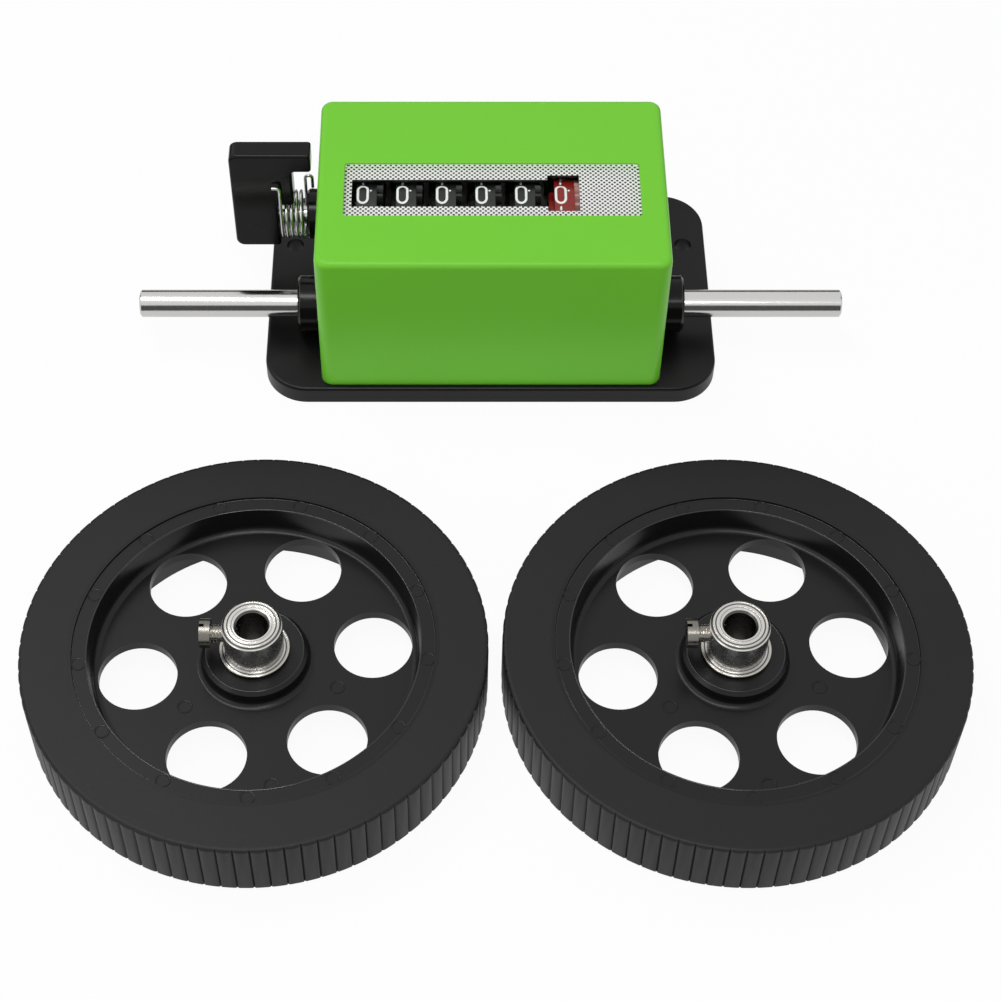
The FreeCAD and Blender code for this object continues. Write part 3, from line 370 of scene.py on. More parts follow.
def natural_acetal(colours):
    """Milky acetal of the small gears: pale, even and softly glossy."""
    return shaded("natural_acetal", colours.acetal, roughness=0.38, grain_mm=0.8, depth_mm=0.003,
                  tint=0.03, IOR=1.48)


def black_drum_acetal(colours):
    """Black acetal of the number drums."""
    return shaded("black_drum_acetal", colours.drum, roughness=0.4, grain_mm=0.5, depth_mm=0.004,
                  IOR=1.48)


def red_drum_acetal(colours):
    """Signal red acetal of the last drum."""
    return shaded("red_drum_acetal", colours.red, roughness=0.36, grain_mm=0.5, depth_mm=0.004,
                  IOR=1.48)


def numeral_ink(colours):
    """White pad-printing ink: flat and dense, with the faint unevenness of a thin film."""
    return shaded("numeral_ink", colours.ink, roughness=0.55, grain_mm=0.25, depth_mm=0.003, tint=0.03)


def turned_steel(colours, name, centre):
    """Turned steel hub: tool marks run as rings about the bore, and painted shade darkens the bore and the
    roots of some rings.

    Real rings are about 0.1 mm apart. The fine ones here are 0.28 mm apart, and the painted shade rings
    0.85 mm apart.
    """
    fine_step = 0.28 * MM
    shade_ring_step = 0.85 * MM
    root_shade_edge = (-0.85, 0.1)
    bore_shade_edge = (3.6 * MM, 3.9 * MM)
    grain = 0.9 * MM
    depth = 0.008 * MM
    gloss = (0.16, 0.34)
    material, tree, output = new_material(name)
    here = add(tree, "ShaderNodeTexCoord")
    flat = add(tree, "ShaderNodeMapping",
               {"Location": (-centre[0], -centre[1], 0.0), "Scale": (1.0, 1.0, 0.0)},
               {"Vector": here.outputs["Object"]})
    radius = add(tree, "ShaderNodeVectorMath", {}, {0: flat.outputs["Vector"]},
                 operation="LENGTH").outputs["Value"]
    rings = calc(tree, "SINE", calc(tree, "MULTIPLY", radius, 2 * math.pi / fine_step))
    # Painted shade: the colour goes dark in ring roots 0.85 mm apart and inside the bore, where shade
    # falls; clean and shown are the shares left unshaded.
    roots = calc(tree, "COSINE", calc(tree, "MULTIPLY", radius, 2 * math.pi / shade_ring_step))
    noise = surface_texture(tree, grain, centre=centre)
    outside_bore_shade = remap(tree, radius, 0.0, 1.0, *bore_shade_edge)
    clean = remap(tree, roots, 0.0, 1.0, *root_shade_edge)
    shown = calc(tree, "MULTIPLY", clean, outside_bore_shade)
    height = calc(tree, "MULTIPLY_ADD", rings, 1.0, noise)
    shader = add(tree, "ShaderNodeBsdfPrincipled", {"Metallic": 1.0},
                 {"Base Color": two_tone(tree, shown, colours.bore, colours.steel),
                  "Roughness": remap(tree, noise, *gloss), "Normal": bumped(tree, height, depth)})
    tree.links.new(shader.outputs["BSDF"], output.inputs["Surface"])
    return material


def polished_acrylic(colours):
    """Polished acrylic lens: it bends what lies under it, and its four edges mirror the mask.

    The gloss of its two faces is left out, as the picture shows none. Light passes straight through.
    """
    grain = 3 * MM
    depth = 0.002 * MM
    clear = (*colours.acrylic, 1.0)
    optics = {"Color": clear, "Roughness": 0.0, "IOR": 1.49}
    material, tree, output = new_material("polished_acrylic")
    waves = bumped(tree, surface_texture(tree, grain), depth)
    face = add(tree, "ShaderNodeBsdfRefraction", optics, {"Normal": waves})
    edge = add(tree, "ShaderNodeBsdfGlass", optics)
    straight = add(tree, "ShaderNodeBsdfTransparent", {"Color": clear})
    facing = add(tree, "ShaderNodeNewGeometry")
    parts = add(tree, "ShaderNodeSeparateXYZ", {}, {0: facing.outputs["True Normal"]})
    flat = calc(tree, "GREATER_THAN", calc(tree, "ABSOLUTE", parts.outputs["Z"]), 0.5)
    bent = mixed(tree, flat, edge.outputs["BSDF"], face.outputs["BSDF"])
    ray = add(tree, "ShaderNodeLightPath")
    seen = calc(tree, "MAXIMUM", ray.outputs["Is Camera Ray"], ray.outputs["Is Transmission Ray"])
    tree.links.new(mixed(tree, seen, straight.outputs["BSDF"], bent), output.inputs["Surface"])
    return material


def hatched_mask(colours):
    """Pale mask with a crosshatch print that kills glare: rows of dark pips 0.9 mm apart.

    The real hatch is about 0.5 mm, drawn coarser so that it shows. Only faces that look up take the print:
    the slot's upright walls get the dark colour as painted shade.
    """
    period = 1.3 * MM
    pip_edge = (-0.34, -0.06)
    depth = 0.03 * MM
    material, tree, output = new_material("hatched_mask")
    here = add(tree, "ShaderNodeTexCoord")
    parts = add(tree, "ShaderNodeSeparateXYZ", {}, {0: here.outputs["Object"]})
    waves = [calc(tree, "SINE", calc(tree, "MULTIPLY", parts.outputs[axis], 2 * math.pi / period))
             for axis in ("X", "Y")]
    pips = calc(tree, "MULTIPLY", *waves)
    pale = remap(tree, pips, 0.0, 1.0, *pip_edge)
    # Painted shade: the print share is multiplied by how far a face looks up, so the slot's upright walls
    # take the dark colour as the slot's shadow.
    normal = add(tree, "ShaderNodeNewGeometry").outputs["Normal"]
    facing = add(tree, "ShaderNodeSeparateXYZ", {}, {0: normal})
    print_share_with_wall_shade = calc(tree, "MULTIPLY", pale, facing.outputs["Z"], clamp=True)
    shader = add(tree, "ShaderNodeBsdfPrincipled", {"Roughness": 0.5},
                 {"Base Color": two_tone(tree, print_share_with_wall_shade, colours.mask_dark, colours.mask_pale),
                  "Normal": bumped(tree, pips, depth)})
    tree.links.new(shader.outputs["BSDF"], output.inputs["Surface"])
    return material


FINISHES = (
    (moulded_black_abs, ["base_plate"]),
    (moulded_green_abs, ["cover"]),
    (polished_acrylic, ["window_lens"]),
    (hatched_mask, ["window_mask"]),
    (rolled_sheet_steel, ["frame_left", "frame_right"]),
    (ground_steel, ["main_shaft", "digit_axle", "pinion_axle", "reset_shaft", "tie_bars"]),
    (plated_steel, ["cover_screws", "frame_screws", "shaft_rings"]),
    (dulled_steel, ["hub_screw_left", "hub_screw_right"]),
    (blackened_steel, ["lever_pin"]),
    (gloss_black_nylon, ["bearing_left", "bearing_right", "reset_bush", "reset_lever"]),
    (black_drum_acetal, ["digit_drum_%d" % (k + 1) for k in range(DRUMS - 1)]),
    (red_drum_acetal, ["digit_drum_%d" % DRUMS]),
    (pink_acetal, ["units_gear"]),
    (natural_acetal, ["idler_gear", "reset_comb"]
     + ["transfer_pinion_%d" % (k + 1) for k in range(DRUMS - 1)]),
    (turned_brass, ["axle_spacers", "idler_stub", "drive_gear"]),
    (moulded_wheel_nylon, ["wheel_left", "wheel_right"]),
)


def finish(maker):
    """The material that bears the name of its maker, made once."""
    return bpy.data.materials.get(maker.__name__) or maker(bpy.context.scene.counter_colours)


def dress(node, material):
    """Gives a frame node one material in place of the plain one."""
    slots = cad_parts[node].data.materials
    slots.clear()
    slots.append(material)


# Sizes and colours that a user would change

class CounterColours(bpy.types.PropertyGroup):
    housing: colour_property("Housing", "Green of the moulded housing", "79d437")
    black: colour_property("Black plastic", "Base, lever, bush and bearings", "0d0d0d")
    wheel: colour_property("Wheel", "Charcoal of the wheels", "141414")
    tyre: colour_property("Tyre", "Charcoal of the tyres", "151515")
    steel: colour_property("Steel", "Ground and turned steel", "c9c8c6")
    plate: colour_property("Plated steel", "Zinc-plated small parts", "cbc7bd")
    dulled: colour_property("Dulled steel", "Clamp screws", "77746e")
    brass: colour_property("Brass", "Turned brass", "c9a558")
    acetal: colour_property("Acetal", "Natural acetal gears", "e4e2d8")
    drum: colour_property("Drum", "Black number drums", "141615")
    red: colour_property("Red drum", "The last number drum", "8c1f1c")
    pink: colour_property("Units gear", "The gear beside the red drum", "dcaaa4")
    # Painted shade: this dark colour fills the hubs' bores and ring roots, where shade falls.
    bore: colour_property("Hub bore", "Oiled steel inside the hubs", "4c4a47")
    ink: colour_property("Numerals", "Ink of the numerals", "ffffff")
    acrylic: colour_property("Lens", "Clear acrylic", "fdfefd")
    mask_pale: colour_property("Mask, pale", "Tops of the mask's hatch", "fffafd")
    # This dark colour is also painted shade on the slot's upright walls.
    mask_dark: colour_property("Mask, dark", "Pips of the mask's hatch", "0c0d0c")


class CounterTread(bpy.types.PropertyGroup):
    lands: bpy.props.IntProperty(name="Lands", description="Lands round a tyre", default=90, min=12)
    groove: length_property("Groove", "Width of a cross groove at its top", 0.7)
    depth: length_property("Depth", "Depth of a cross groove", 0.35)
    crown: length_property("Crown", "How far a land's middle stands above its sides", 0.18)
    corner: length_property("Corner", "Radius of the tyre's two outer corners", 0.9)


class CounterMarks(bpy.types.PropertyGroup):
    count: bpy.props.IntProperty(name="Rim marks", description="Ejector marks on each rim", default=13,
                                 min=0)
    radius: length_property("Radius", "Radius of an ejector mark", 1.75)
    height: length_property("Height", "Height of a mark's raised edge", 0.16)
    circle: length_property("Circle", "Radius of the circle that the rim marks lie on", 39.6)


class CounterNumerals(bpy.types.PropertyGroup):
    height: length_property("Height", "Height of a numeral", 6.2)
    width: length_property("Width", "Width of a numeral", 3.0)
    stroke: length_property("Stroke", "Width of a stroke", 0.6)
    film: length_property("Film", "How far the ink stands above the drum", 0.04)
    dot: length_property("Dot", "Radius of the small index dots", 0.28)
    tick: length_property("Tick", "Length of the index tick between two figures", 1.3)
    inset: length_property("Inset", "From a drum's left end to the middle of its figures", 2.9)


class CounterSpring(bpy.types.PropertyGroup):
    wire: length_property("Wire", "Radius of the wire", 0.425)
    coil: length_property("Coil", "Radius of the coil at the wire's middle", 5.95)
    pitch: length_property("Pitch", "Distance from turn to turn", 1.27)
    turns: bpy.props.FloatProperty(name="Turns", description="Turns of the coil", default=4.5, min=1)
    left_leg: length_property("Left leg", "Straight leg that leans on the lever", 14.0)
    right_leg: length_property("Right leg", "Straight leg at the back", 7.0)
    bend: length_property("Bend", "Radius where a leg turns", 0.9)
    foot: length_property("Foot", "Straight end of the left leg's foot", 1.0)
    hook: length_property("Hook", "Straight end of the right leg's hook", 3.2)


class CounterThread(bpy.types.PropertyGroup):
    pitch: length_property("Pitch", "Pitch of the clamp screw's thread", 0.7)
    crest: length_property("Crest", "Radius over the thread's crests", 2.1)
    root: length_property("Root", "Radius at the thread's roots", 1.7)


class CounterStage(bpy.types.PropertyGroup):
    focal_px: bpy.props.FloatProperty(name="Focal length", description="In pixels of the square picture",
                                      default=2200.0)
    axis_px: bpy.props.FloatProperty(name="Optical axis", description="Its column in the picture",
                                     default=453.5)
    pitch_deg: bpy.props.FloatProperty(name="Tilt", description="How far down the camera looks",
                                       default=52.86)
    distance: length_property("Distance", "From the camera to the point that it looks at", 542.5)
    aim_x: length_property("Aim X", "Across, to the point on the floor that it looks at", -9.5)
    aim_y: length_property("Aim Y", "Forward, to the point on the floor that it looks at", -71.6)


PROPERTIES = {
    "counter_colours": CounterColours, "counter_tread": CounterTread, "counter_marks": CounterMarks,
    "counter_numerals": CounterNumerals, "counter_spring": CounterSpring, "counter_thread": CounterThread,
    "counter_stage": CounterStage,
}


# Pieces

class COUNTER_OT_finishes(bpy.types.Operator):
    """Gives every frame node that stays its own finish"""
    bl_idname = "counter.finishes"
    bl_label = "Finishes"

    def execute(self, context):
        for maker, nodes in FINISHES:
            for node in nodes:
                dress(node, finish(maker))
        for side in SIDES:
            hub = "hub_" + side
            dress(hub, turned_steel(context.scene.counter_colours, "turned_steel_" + side,
                                    middle_of(hub)[0]))
        return {"FINISHED"}


def tread_radius(angle, radius, sizes):
    """Radius of the tread at each angle.

    A land is crowned like a shallow parabola, and a groove is a V whose depth falls off evenly from
    its middle, so the radius is R - crown * u^2 - depth * max(0, 1 - d / half width).
    """
    step = 2 * math.pi / sizes.lands
    across = (angle / step) % 1.0
    from_groove = np.minimum(across, 1 - across) * step * radius
    crown = sizes.crown * (2 * across - 1) ** 2
    groove = sizes.depth * np.clip(1 - from_groove / (sizes.groove / 2), 0, 1)
    return radius - crown - groove


class COUNTER_OT_tyres(bpy.types.Operator):
    """Makes the two tyres with crowned lands between V grooves"""
    bl_idname = "counter.tyres"
    bl_label = "Tyres"

    def execute(self, context):
        sizes = context.scene.counter_tread
        land_shares = np.array([0.0, 0.028, 0.056, 0.084, 0.14, 0.25, 0.38, 0.5, 0.62, 0.75, 0.86, 0.916,
                                0.944, 0.972])
        corner_points = 6
        support_gap = 0.3 * MM
        step = 2 * math.pi / sizes.lands
        angle = ((np.arange(sizes.lands)[:, None] + land_shares[None, :]) * step).ravel()
        for side in SIDES:
            centre, half = middle_of("tyre_" + side)
            inner = middle_of("wheel_" + side)[1][0]
            radius = half[0]
            corner = sizes.corner
            inset = radius - corner
            support = inset - support_gap
            top = 2 * half[2]
            low_corner = arc((inset, corner), (corner, corner), -90, 0, corner_points)
            high_corner = arc((inset, top - corner), (corner, corner), 0, 90, corner_points)
            profile = np.concatenate(([(inner, 0), (support, 0)], low_corner, high_corner,
                                      [(support, top), (inner, top)]))
            reach = np.minimum(profile[None, :, 0], tread_radius(angle, radius, sizes)[:, None])
            grid = np.stack((centre[0] + reach * np.cos(angle)[:, None],
                             centre[1] + reach * np.sin(angle)[:, None],
                             np.broadcast_to(profile[None, :, 1], reach.shape)), axis=-1)
            tyre = place("tyre_tread_" + side, [(grid, True, True, False)], finish(matt_tyre_rubber),
                         "wheel_set_" + side)
            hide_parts("tyre_" + side)
        return {"FINISHED"}


class COUNTER_OT_wheel_marks(bpy.types.Operator):
    """Makes the round ejector marks on the rims and webs of the wheels"""
    bl_idname = "counter.wheel_marks"
    bl_label = "Wheel marks"

    def execute(self, context):
        sizes = context.scene.counter_marks
        rim_step = 0.5 * MM
        web_top = 9.7 * MM
        sunk = 0.1 * MM
        mark_sides = 24
        first_deg = 271
        web_marks_deg_mm = ((219, 19.8), (339, 20.2), (279, 33.0))
        radius_shares = np.array([0.0, 0.76, 0.8, 0.86, 0.94, 1.0, 1.0, 0.0])
        height_shares = np.array([0.12, 0.12, 0.8, 1.0, 1.0, 0.5, 0.0, 0.0])
        profile = np.stack((radius_shares * sizes.radius, height_shares * sizes.height), axis=-1)
        profile[-2:, 1] = -sunk
        for side in SIDES:
            centre, half = middle_of("wheel_" + side)
            rim_top = 2 * half[2] - rim_step
            places = [(first_deg + k * 360 / sizes.count, sizes.circle, rim_top)
                      for k in range(sizes.count)]
            places += [(degrees, out_mm * MM, web_top) for degrees, out_mm in web_marks_deg_mm]
            marks = []
            for degrees, out, height in places:
                a = math.radians(degrees)
                at = (centre[0] + out * math.cos(a), centre[1] + out * math.sin(a), height)
                marks.append(turned(profile, at, mark_sides))
            place("wheel_marks_" + side, marks, finish(moulded_wheel_nylon), "wheel_set_" + side)
        return {"FINISHED"}


def bead(radius, height, wide, high):
    """Half section of a ring that stands a little above a face: a half ellipse on a sunk foot."""
    top_points = 9
    top = arc((radius, height), (wide / 2, high), 0, 180, top_points)
    foot = height - wide / 2
    return np.concatenate((top, [(radius - wide / 2, foot), (radius + wide / 2, foot)]))


class COUNTER_OT_wheel_beads(bpy.types.Operator):
    """Makes the thin rings that catch light on the rims and on the steel hubs"""
    bl_idname = "counter.wheel_beads"
    bl_label = "Wheel beads"

    def execute(self, context):
        # Each bead has its radius, the height of the face under it, its width and its rise, in millimetres.
        ring_sides = 180
        rim_beads = ((37.85, 16.5, 0.4, 0.14), (41.0, 16.5, 0.24, 0.07), (11.1, 13.9, 0.3, 0.08))
        hub_beads = ((6.0, 24.3, 0.3, 0.1), (4.75, 24.3, 0.26, 0.09), (7.7, 14.9, 0.34, 0.12))
        groups = (("rim_beads_", rim_beads, burnished_nylon, "wheel_moulding"),
                  ("hub_beads_", hub_beads, plated_steel, "bright_steel"))
        for side in SIDES:
            centre = middle_of("wheel_" + side)[0]
            at = (centre[0], centre[1], 0.0)
            for name, beads, maker, slot in groups:
                rings = [turned(bead(*[size * MM for size in sizes]), at, ring_sides) for sizes in beads]
                place(name + side, rings, finish(maker), "wheel_set_" + side)
        return {"FINISHED"}


class COUNTER_OT_boss_edges(bpy.types.Operator):
    """Makes the burnished line round the outer edge of each bearing boss"""
    bl_idname = "counter.boss_edges"
    bl_label = "Boss edges"

    def execute(self, context):
        boss_radius = 7.3 * MM
        chamfer = 0.6 * MM
        line = 0.13 * MM
        line_sides = 12
        ring_sides = 120
        last_deg = 360 - 360 / line_sides
        around = arc((boss_radius - line / 2, 0), (line, line), 0, last_deg, line_sides)
        ring = turned(around, (0, 0, 0), ring_sides)[0][..., [2, 0, 1]]
        for side, way in zip(SIDES, (-1, 1)):
            name = "bearing_" + side
            centre = middle_of(name)[0]
            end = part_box(name)[0 if way < 0 else 1][0]
            at = np.array([end - way * chamfer, centre[1], centre[2]])
            place("boss_edge_" + side, [(ring + at, True, True, False)], finish(burnished_nylon),
                  "housing")
        return {"FINISHED"}


def numeral_strokes(digit):
    """Strokes of a numeral on a unit square about its middle, each a chain of points.

    Straight strokes are two points, and round ones are arcs of ellipses.
    """
    top = (0.0, 0.25)
    low = (0.0, -0.25)
    bowl = (0.5, 0.25)
    if digit == 0:
        loop = [arc(top, bowl, 0, 180, 13), arc(low, bowl, 180, 360, 13), [(0.5, 0.25)]]
        return [np.concatenate(loop)]
    if digit == 1:
        return [np.array([(-0.25, 0.28), (0.06, 0.5)]), np.array([(0.06, 0.5), (0.06, -0.5)])]
    if digit == 2:
        return [np.concatenate((arc(top, bowl, 175, -25, 15), [(-0.5, -0.5)])),
                np.array([(-0.5, -0.5), (0.5, -0.5)])]
    if digit == 3:
        return [arc(top, (0.46, 0.25), 160, -90, 15), arc(low, bowl, 90, -160, 15)]
    if digit == 4:
        return [np.array([(0.22, -0.5), (0.22, 0.5)]), np.array([(0.22, 0.5), (-0.5, -0.2)]),
                np.array([(-0.5, -0.2), (0.5, -0.2)])]
    if digit == 5:
        return [np.array([(0.45, 0.5), (-0.4, 0.5)]), np.array([(-0.4, 0.5), (-0.44, 0.06)]),
                arc((0.0, -0.18), (0.5, 0.32), 135, -150, 17)]
    if digit == 6:
        return [np.concatenate((arc((0.05, 0.1), (0.55, 0.4), 70, 180, 11), [(-0.5, -0.2)])),
                arc((0.0, -0.2), (0.5, 0.3), 0, 360, 25)]
    if digit == 7:
        return [np.array([(-0.5, 0.5), (0.5, 0.5)]), np.array([(0.5, 0.5), (-0.15, -0.5)])]
    if digit == 8:
        return [arc((0.0, 0.26), (0.42, 0.24), 0, 360, 25), arc((0.0, -0.24), (0.5, 0.26), 0, 360, 25)]
    return [-stroke for stroke in numeral_strokes(6)]


def fine(stroke, longest=0.06):
    """The same chain with its straight runs divided, so that it can follow a curved surface."""
    length = np.concatenate(([0], np.cumsum(np.linalg.norm(np.diff(stroke, axis=0), axis=1))))
    marks = np.union1d(length, np.arange(0, length[-1], longest))
    return np.stack([np.interp(marks, length, stroke[:, k]) for k in (0, 1)], axis=-1)


def wrapped(grid, axis, radius, turn):
    """Bends flat artwork round a drum: (across, along, height) goes to the drum's surface.

    The drum turns about X. The point lies at angle 90 degrees - turn - along / radius from +Y.
    """
    angle = math.pi / 2 - turn - grid[..., 1] / radius
    reach = radius + grid[..., 2]
    return np.stack((axis[0] + grid[..., 0], axis[1] + reach * np.cos(angle),
                     axis[2] + reach * np.sin(angle)), axis=-1)


class COUNTER_OT_numerals(bpy.types.Operator):
    """Prints the numerals 0 to 9 and the index dots round each drum"""
    bl_idname = "counter.numerals"
    bl_label = "Numerals"

    def execute(self, context):
        sizes = context.scene.counter_numerals
        half = sizes.stroke / 2
        sunk = -0.1 * MM
        section = np.array([(-half, sunk), (half, sunk), (half, sizes.film), (-half, sizes.film)])
        scale = np.array([sizes.width - sizes.stroke, sizes.height - sizes.stroke])
        dot_profile = np.array([(0, sizes.film), (sizes.dot, sizes.film), (sizes.dot, sunk), (0, sunk)])
        dot_sides = 12
        step = 2 * math.pi / DIGITS
        side_dot = (1.95 * MM, 1.2 * MM)
        tick_stretch = np.array([1.0, sizes.tick / (2 * sizes.dot), 1.0])
        for k in range(DRUMS):
            name = "digit_drum_%d" % (k + 1)
            centre, size = middle_of(name)
            axis = (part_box(name)[0][0] + sizes.inset, centre[1], centre[2])
            grids = []
            for digit in range(DIGITS):
                for stroke in numeral_strokes(digit):
                    flat = fine(stroke) * scale
                    path = np.column_stack((flat, np.zeros(len(flat))))
                    along = np.gradient(path, axis=0)
                    side = np.column_stack((-along[:, 1], along[:, 0], along[:, 2]))
                    grid = sweep(path, side, section)[0]
                    grids.append((wrapped(grid, axis, size[1], digit * step), False, True, True))
                dot = turned(dot_profile, (*side_dot, 0.0), dot_sides)[0]
                grids.append((wrapped(dot, axis, size[1], digit * step), True, True, False))
                tick = turned(dot_profile, (0.0, 0.0, 0.0), dot_sides)[0] * tick_stretch
                grids.append((wrapped(tick, axis, size[1], (digit + 0.5) * step), True, True, False))
            place("numerals_%d" % (k + 1), grids, finish(numeral_ink), "drum_%d" % (k + 1))
        return {"FINISHED"}


class COUNTER_OT_reset_spring(bpy.types.Operator):
    """Winds the reset spring: a coil with a leg at each end, bent from one wire"""
    bl_idname = "counter.reset_spring"
    bl_label = "Reset spring"

    def execute(self, context):
        sizes = context.scene.counter_spring
        bush_gap = 0.3 * MM
        turn_points = 40
        wire_sides = 14
        axis = middle_of("reset_bush")[0]
        coil_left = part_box("reset_bush")[0][0] - bush_gap - sizes.wire - sizes.pitch * sizes.turns
        turn = np.linspace(0, sizes.turns, int(sizes.turns * turn_points) + 1)
        angle = math.pi + 2 * math.pi * turn
        ring = np.stack((np.zeros_like(turn), np.cos(angle), np.sin(angle)), axis=-1)
        coil = ring * sizes.coil + np.array([coil_left, axis[1], axis[2]])
        coil[:, 0] += sizes.pitch * turn
        left = leg(coil[0], -1, sizes.left_leg, sizes.bend, sizes.foot)[::-1]
        right = leg(coil[-1], 1, sizes.right_leg, sizes.bend, 0.0)
        over = np.linspace(0, math.pi / 2, BEND_POINTS)
        hook = right[-1] + sizes.bend * np.column_stack((np.sin(over), np.zeros(BEND_POINTS),
                                                         np.cos(over) - 1))
        tail = hook[-1] - np.array([(0, 0, sizes.hook * s) for s in (0.5, 1.0)])
        path = np.concatenate((left[:-1], coil, right[1:], hook[1:], tail))
        side = np.concatenate((np.tile(ring[0], (len(left) - 1, 1)), ring,
                               np.tile(ring[-1], (len(right) + len(hook) + len(tail) - 2, 1))))
        around = np.arange(wire_sides) * 2 * math.pi / wire_sides
        section = sizes.wire * np.stack((np.cos(around), np.sin(around)), axis=-1)
        spring = place("wound_reset_spring", [sweep(path, side, section)], finish(drawn_spring_wire),
                       None)
        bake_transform(spring)
        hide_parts("reset_spring")
        return {"FINISHED"}


def leg(start, way, length, bend, foot):
    """A leg from the coil: straight up, then a quarter circle sideways and a straight foot.

    way is 1 for a foot to the right and -1 for one to the left.
    """
    rise = np.linspace(0, length, LEG_POINTS)
    turn = np.linspace(0, math.pi / 2, BEND_POINTS)[1:]
    across = np.concatenate((np.zeros(LEG_POINTS), way * bend * (1 - np.cos(turn)),
                             [way * (bend + foot)]))
    up = np.concatenate((rise, length + bend * np.sin(turn), [length + bend]))
    points = start + np.column_stack((across, np.zeros(len(up)), up))
    return points if foot else points[:-1]


class COUNTER_OT_clamp_threads(bpy.types.Operator):
    """Cuts the thread that shows between each clamp screw's head and its hub"""
    bl_idname = "counter.clamp_threads"
    bl_label = "Clamp screw threads"

    def execute(self, context):
        sizes = context.scene.counter_thread
        head_length = 2.4 * MM
        pitch_points = 12
        screw_sides = 32
        for side in SIDES:
            low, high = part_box("hub_screw_" + side)
            axis = middle_of("hub_screw_" + side)[0]
            first = low[0] + head_length
            length = high[0] - first
            along = np.linspace(0, length, int(length / sizes.pitch * pitch_points))
            around = np.arange(screw_sides) * 2 * math.pi / screw_sides
            phase = (along[:, None] / sizes.pitch - around[None, :] / (2 * math.pi)) % 1.0
            tooth = 1 - np.abs(2 * phase - 1)
            reach = sizes.root + (sizes.crest - sizes.root) * tooth
            grid = np.stack((np.broadcast_to(first + along[:, None], reach.shape),
                             axis[1] + reach * np.cos(around)[None, :],
                             axis[2] + reach * np.sin(around)[None, :]), axis=-1)
            place("clamp_thread_" + side, [(grid, False, True, True)], finish(plated_steel),
                  "clamp_screw_" + side)
        return {"FINISHED"}


# Stage

def seen_directly(tree):
    """1 for rays from the camera, from a gloss or through glass, and 0 for the light's own rays."""
    ray = add(tree, "ShaderNodeLightPath")
    first = calc(tree, "MAXIMUM", ray.outputs["Is Camera Ray"], ray.outputs["Is Glossy Ray"])
    return calc(tree, "MAXIMUM", first, ray.outputs["Is Transmission Ray"])


def paper_floor():
    """White paper: it keeps a soft part of each shadow, and shows plain white but duller in a gloss."""
    white_share = 0.94
    gloss_change = -0.25
    material, tree, output = new_material("white_paper")
    paper = add(tree, "ShaderNodeBsdfDiffuse", {"Color": linear("fbfbfb")})
    glow = add(tree, "ShaderNodeEmission", {"Color": linear("ffffff"), "Strength": 1.0})
    ray = add(tree, "ShaderNodeLightPath")
    mirrored = calc(tree, "MULTIPLY_ADD", ray.outputs["Is Glossy Ray"], gloss_change, white_share)
    share = calc(tree, "MULTIPLY", seen_directly(tree), mirrored)
    surface = mixed(tree, share, paper.outputs["BSDF"], glow.outputs["Emission"])
    tree.links.new(surface, output.inputs["Surface"])
    return material


def soft_light(name, place_mm, size_mm, watts):
    """A rectangular soft box that faces the middle of the object."""
    data = bpy.data.lights.new(name, "AREA")
    data.shape = "RECTANGLE"
    data.size = size_mm[0] * MM
    data.size_y = size_mm[1] * MM
    data.energy = watts
    lamp = bpy.data.objects.new(name, data)
    lamp.location = [c * MM for c in place_mm]
    aim = (cad_box[0] + cad_box[1]) / 2 - lamp.location
    lamp.rotation_euler = aim.to_track_quat("-Z", "Y").to_euler()
    bpy.context.scene.collection.objects.link(lamp)


def dark_card(name, back_mm, heights_mm):
    """A dark grey card across the set that only polished surfaces see, for the dark lines in the steel."""
    half = 400 * MM
    low, high = (h * MM for h in heights_mm)
    y = back_mm * MM
    corners = [(-half, y, low), (half, y, low), (half, y, high), (-half, y, high)]
    mesh = bpy.data.meshes.new(name)
    mesh.from_pydata(corners, [], [(0, 1, 2, 3)])
    material, tree, output = new_material(name)
    grey = add(tree, "ShaderNodeEmission", {"Color": linear("5c5c5c")})
    tree.links.new(grey.outputs["Emission"], output.inputs["Surface"])
    mesh.materials.append(material)
    card = bpy.data.objects.new(name, mesh)
    for ray in ("camera", "diffuse", "transmission", "shadow"):
        setattr(card, "visible_" + ray, False)
    bpy.context.scene.collection.objects.link(card)


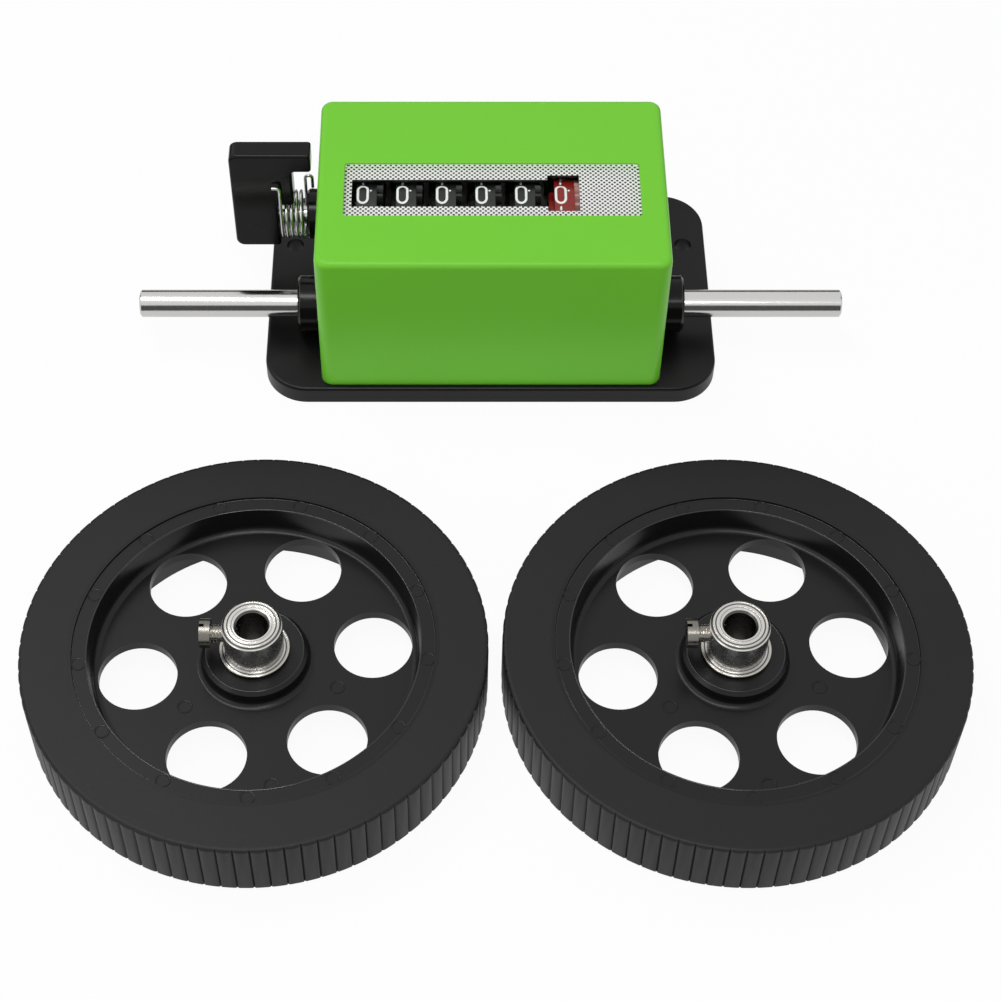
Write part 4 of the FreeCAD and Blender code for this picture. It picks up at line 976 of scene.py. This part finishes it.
class COUNTER_OT_stage(bpy.types.Operator):
    """Sets up the floor, the room's light, the soft boxes and the camera"""
    bl_idname = "counter.stage"
    bl_label = "Stage"

    def execute(self, context):
        scene = context.scene
        sizes = scene.counter_stage
        scene.view_settings.view_transform = "Standard"
        reach = 12.0
        near = 0.01
        far = 40.0
        room_light = 0.38
        mesh = bpy.data.meshes.new("paper")
        corners = [(-reach, -reach, 0), (reach, -reach, 0), (reach, reach, 0), (-reach, reach, 0)]
        mesh.from_pydata(corners, [], [(0, 1, 2, 3)])
        mesh.materials.append(paper_floor())
        floor = bpy.data.objects.new("paper", mesh)
        scene.collection.objects.link(floor)

        dark_card("card_front", back_mm=-56, heights_mm=(4, 36))
        dark_card("card_back", back_mm=100, heights_mm=(0, 60))

        world = bpy.data.worlds.new("studio")
        world.use_nodes = True
        scene.world = world
        tree = world.node_tree
        tree.nodes.clear()
        level = remap(tree, seen_directly(tree), room_light, 1.0)
        back = add(tree, "ShaderNodeBackground", {"Color": linear("ffffff")}, {"Strength": level})
        output = add(tree, "ShaderNodeOutputWorld")
        tree.links.new(back.outputs["Background"], output.inputs["Surface"])

        soft_light("soft_box_above", place_mm=(-150, -160, 900), size_mm=(1200, 80), watts=4.6)
        soft_light("soft_box_left", place_mm=(-700, -510, 500), size_mm=(400, 400), watts=0.7)

        data = bpy.data.cameras.new("camera")
        data.sensor_width = SENSOR_MM
        data.lens = SENSOR_MM * sizes.focal_px / PICTURE_PX
        data.shift_x = 0.5 - sizes.axis_px / PICTURE_PX
        data.clip_start = near
        data.clip_end = far
        camera = bpy.data.objects.new("camera", data)
        pitch = math.radians(sizes.pitch_deg)
        camera.location = (sizes.aim_x, sizes.aim_y - sizes.distance * math.cos(pitch),
                           sizes.distance * math.sin(pitch))
        camera.rotation_euler = (math.pi / 2 - pitch, 0.0, 0.0)
        scene.collection.objects.link(camera)
        scene.camera = camera
        return {"FINISHED"}


OPERATORS = (COUNTER_OT_finishes, COUNTER_OT_tyres, COUNTER_OT_wheel_marks, COUNTER_OT_wheel_beads,
             COUNTER_OT_boss_edges, COUNTER_OT_numerals, COUNTER_OT_reset_spring,
             COUNTER_OT_clamp_threads, COUNTER_OT_stage)


class COUNTER_PT_panel(bpy.types.Panel):
    bl_label = "Cable length counter"
    bl_idname = "COUNTER_PT_panel"
    bl_space_type = "VIEW_3D"
    bl_region_type = "UI"
    bl_category = "Counter"

    def draw(self, context):
        for operator in OPERATORS:
            self.layout.operator(operator.bl_idname)
        for name, group in PROPERTIES.items():
            box = self.layout.box()
            box.label(text=name.replace("counter_", "").capitalize())
            for key in group.__annotations__:
                box.prop(getattr(context.scene, name), key)


def register():
    for group in (*PROPERTIES.values(), *OPERATORS, COUNTER_PT_panel):
        bpy.utils.register_class(group)
    for name, group in PROPERTIES.items():
        setattr(bpy.types.Scene, name, bpy.props.PointerProperty(type=group))


def unregister():
    for name in PROPERTIES:
        delattr(bpy.types.Scene, name)
    for group in (COUNTER_PT_panel, *reversed(OPERATORS), *reversed(list(PROPERTIES.values()))):
        bpy.utils.unregister_class(group)


def main():
    """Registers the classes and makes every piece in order."""
    register()
    for operator in OPERATORS:
        getattr(bpy.ops.counter, operator.bl_idname.split(".")[1])()


if __name__ == "__main__":
    main()
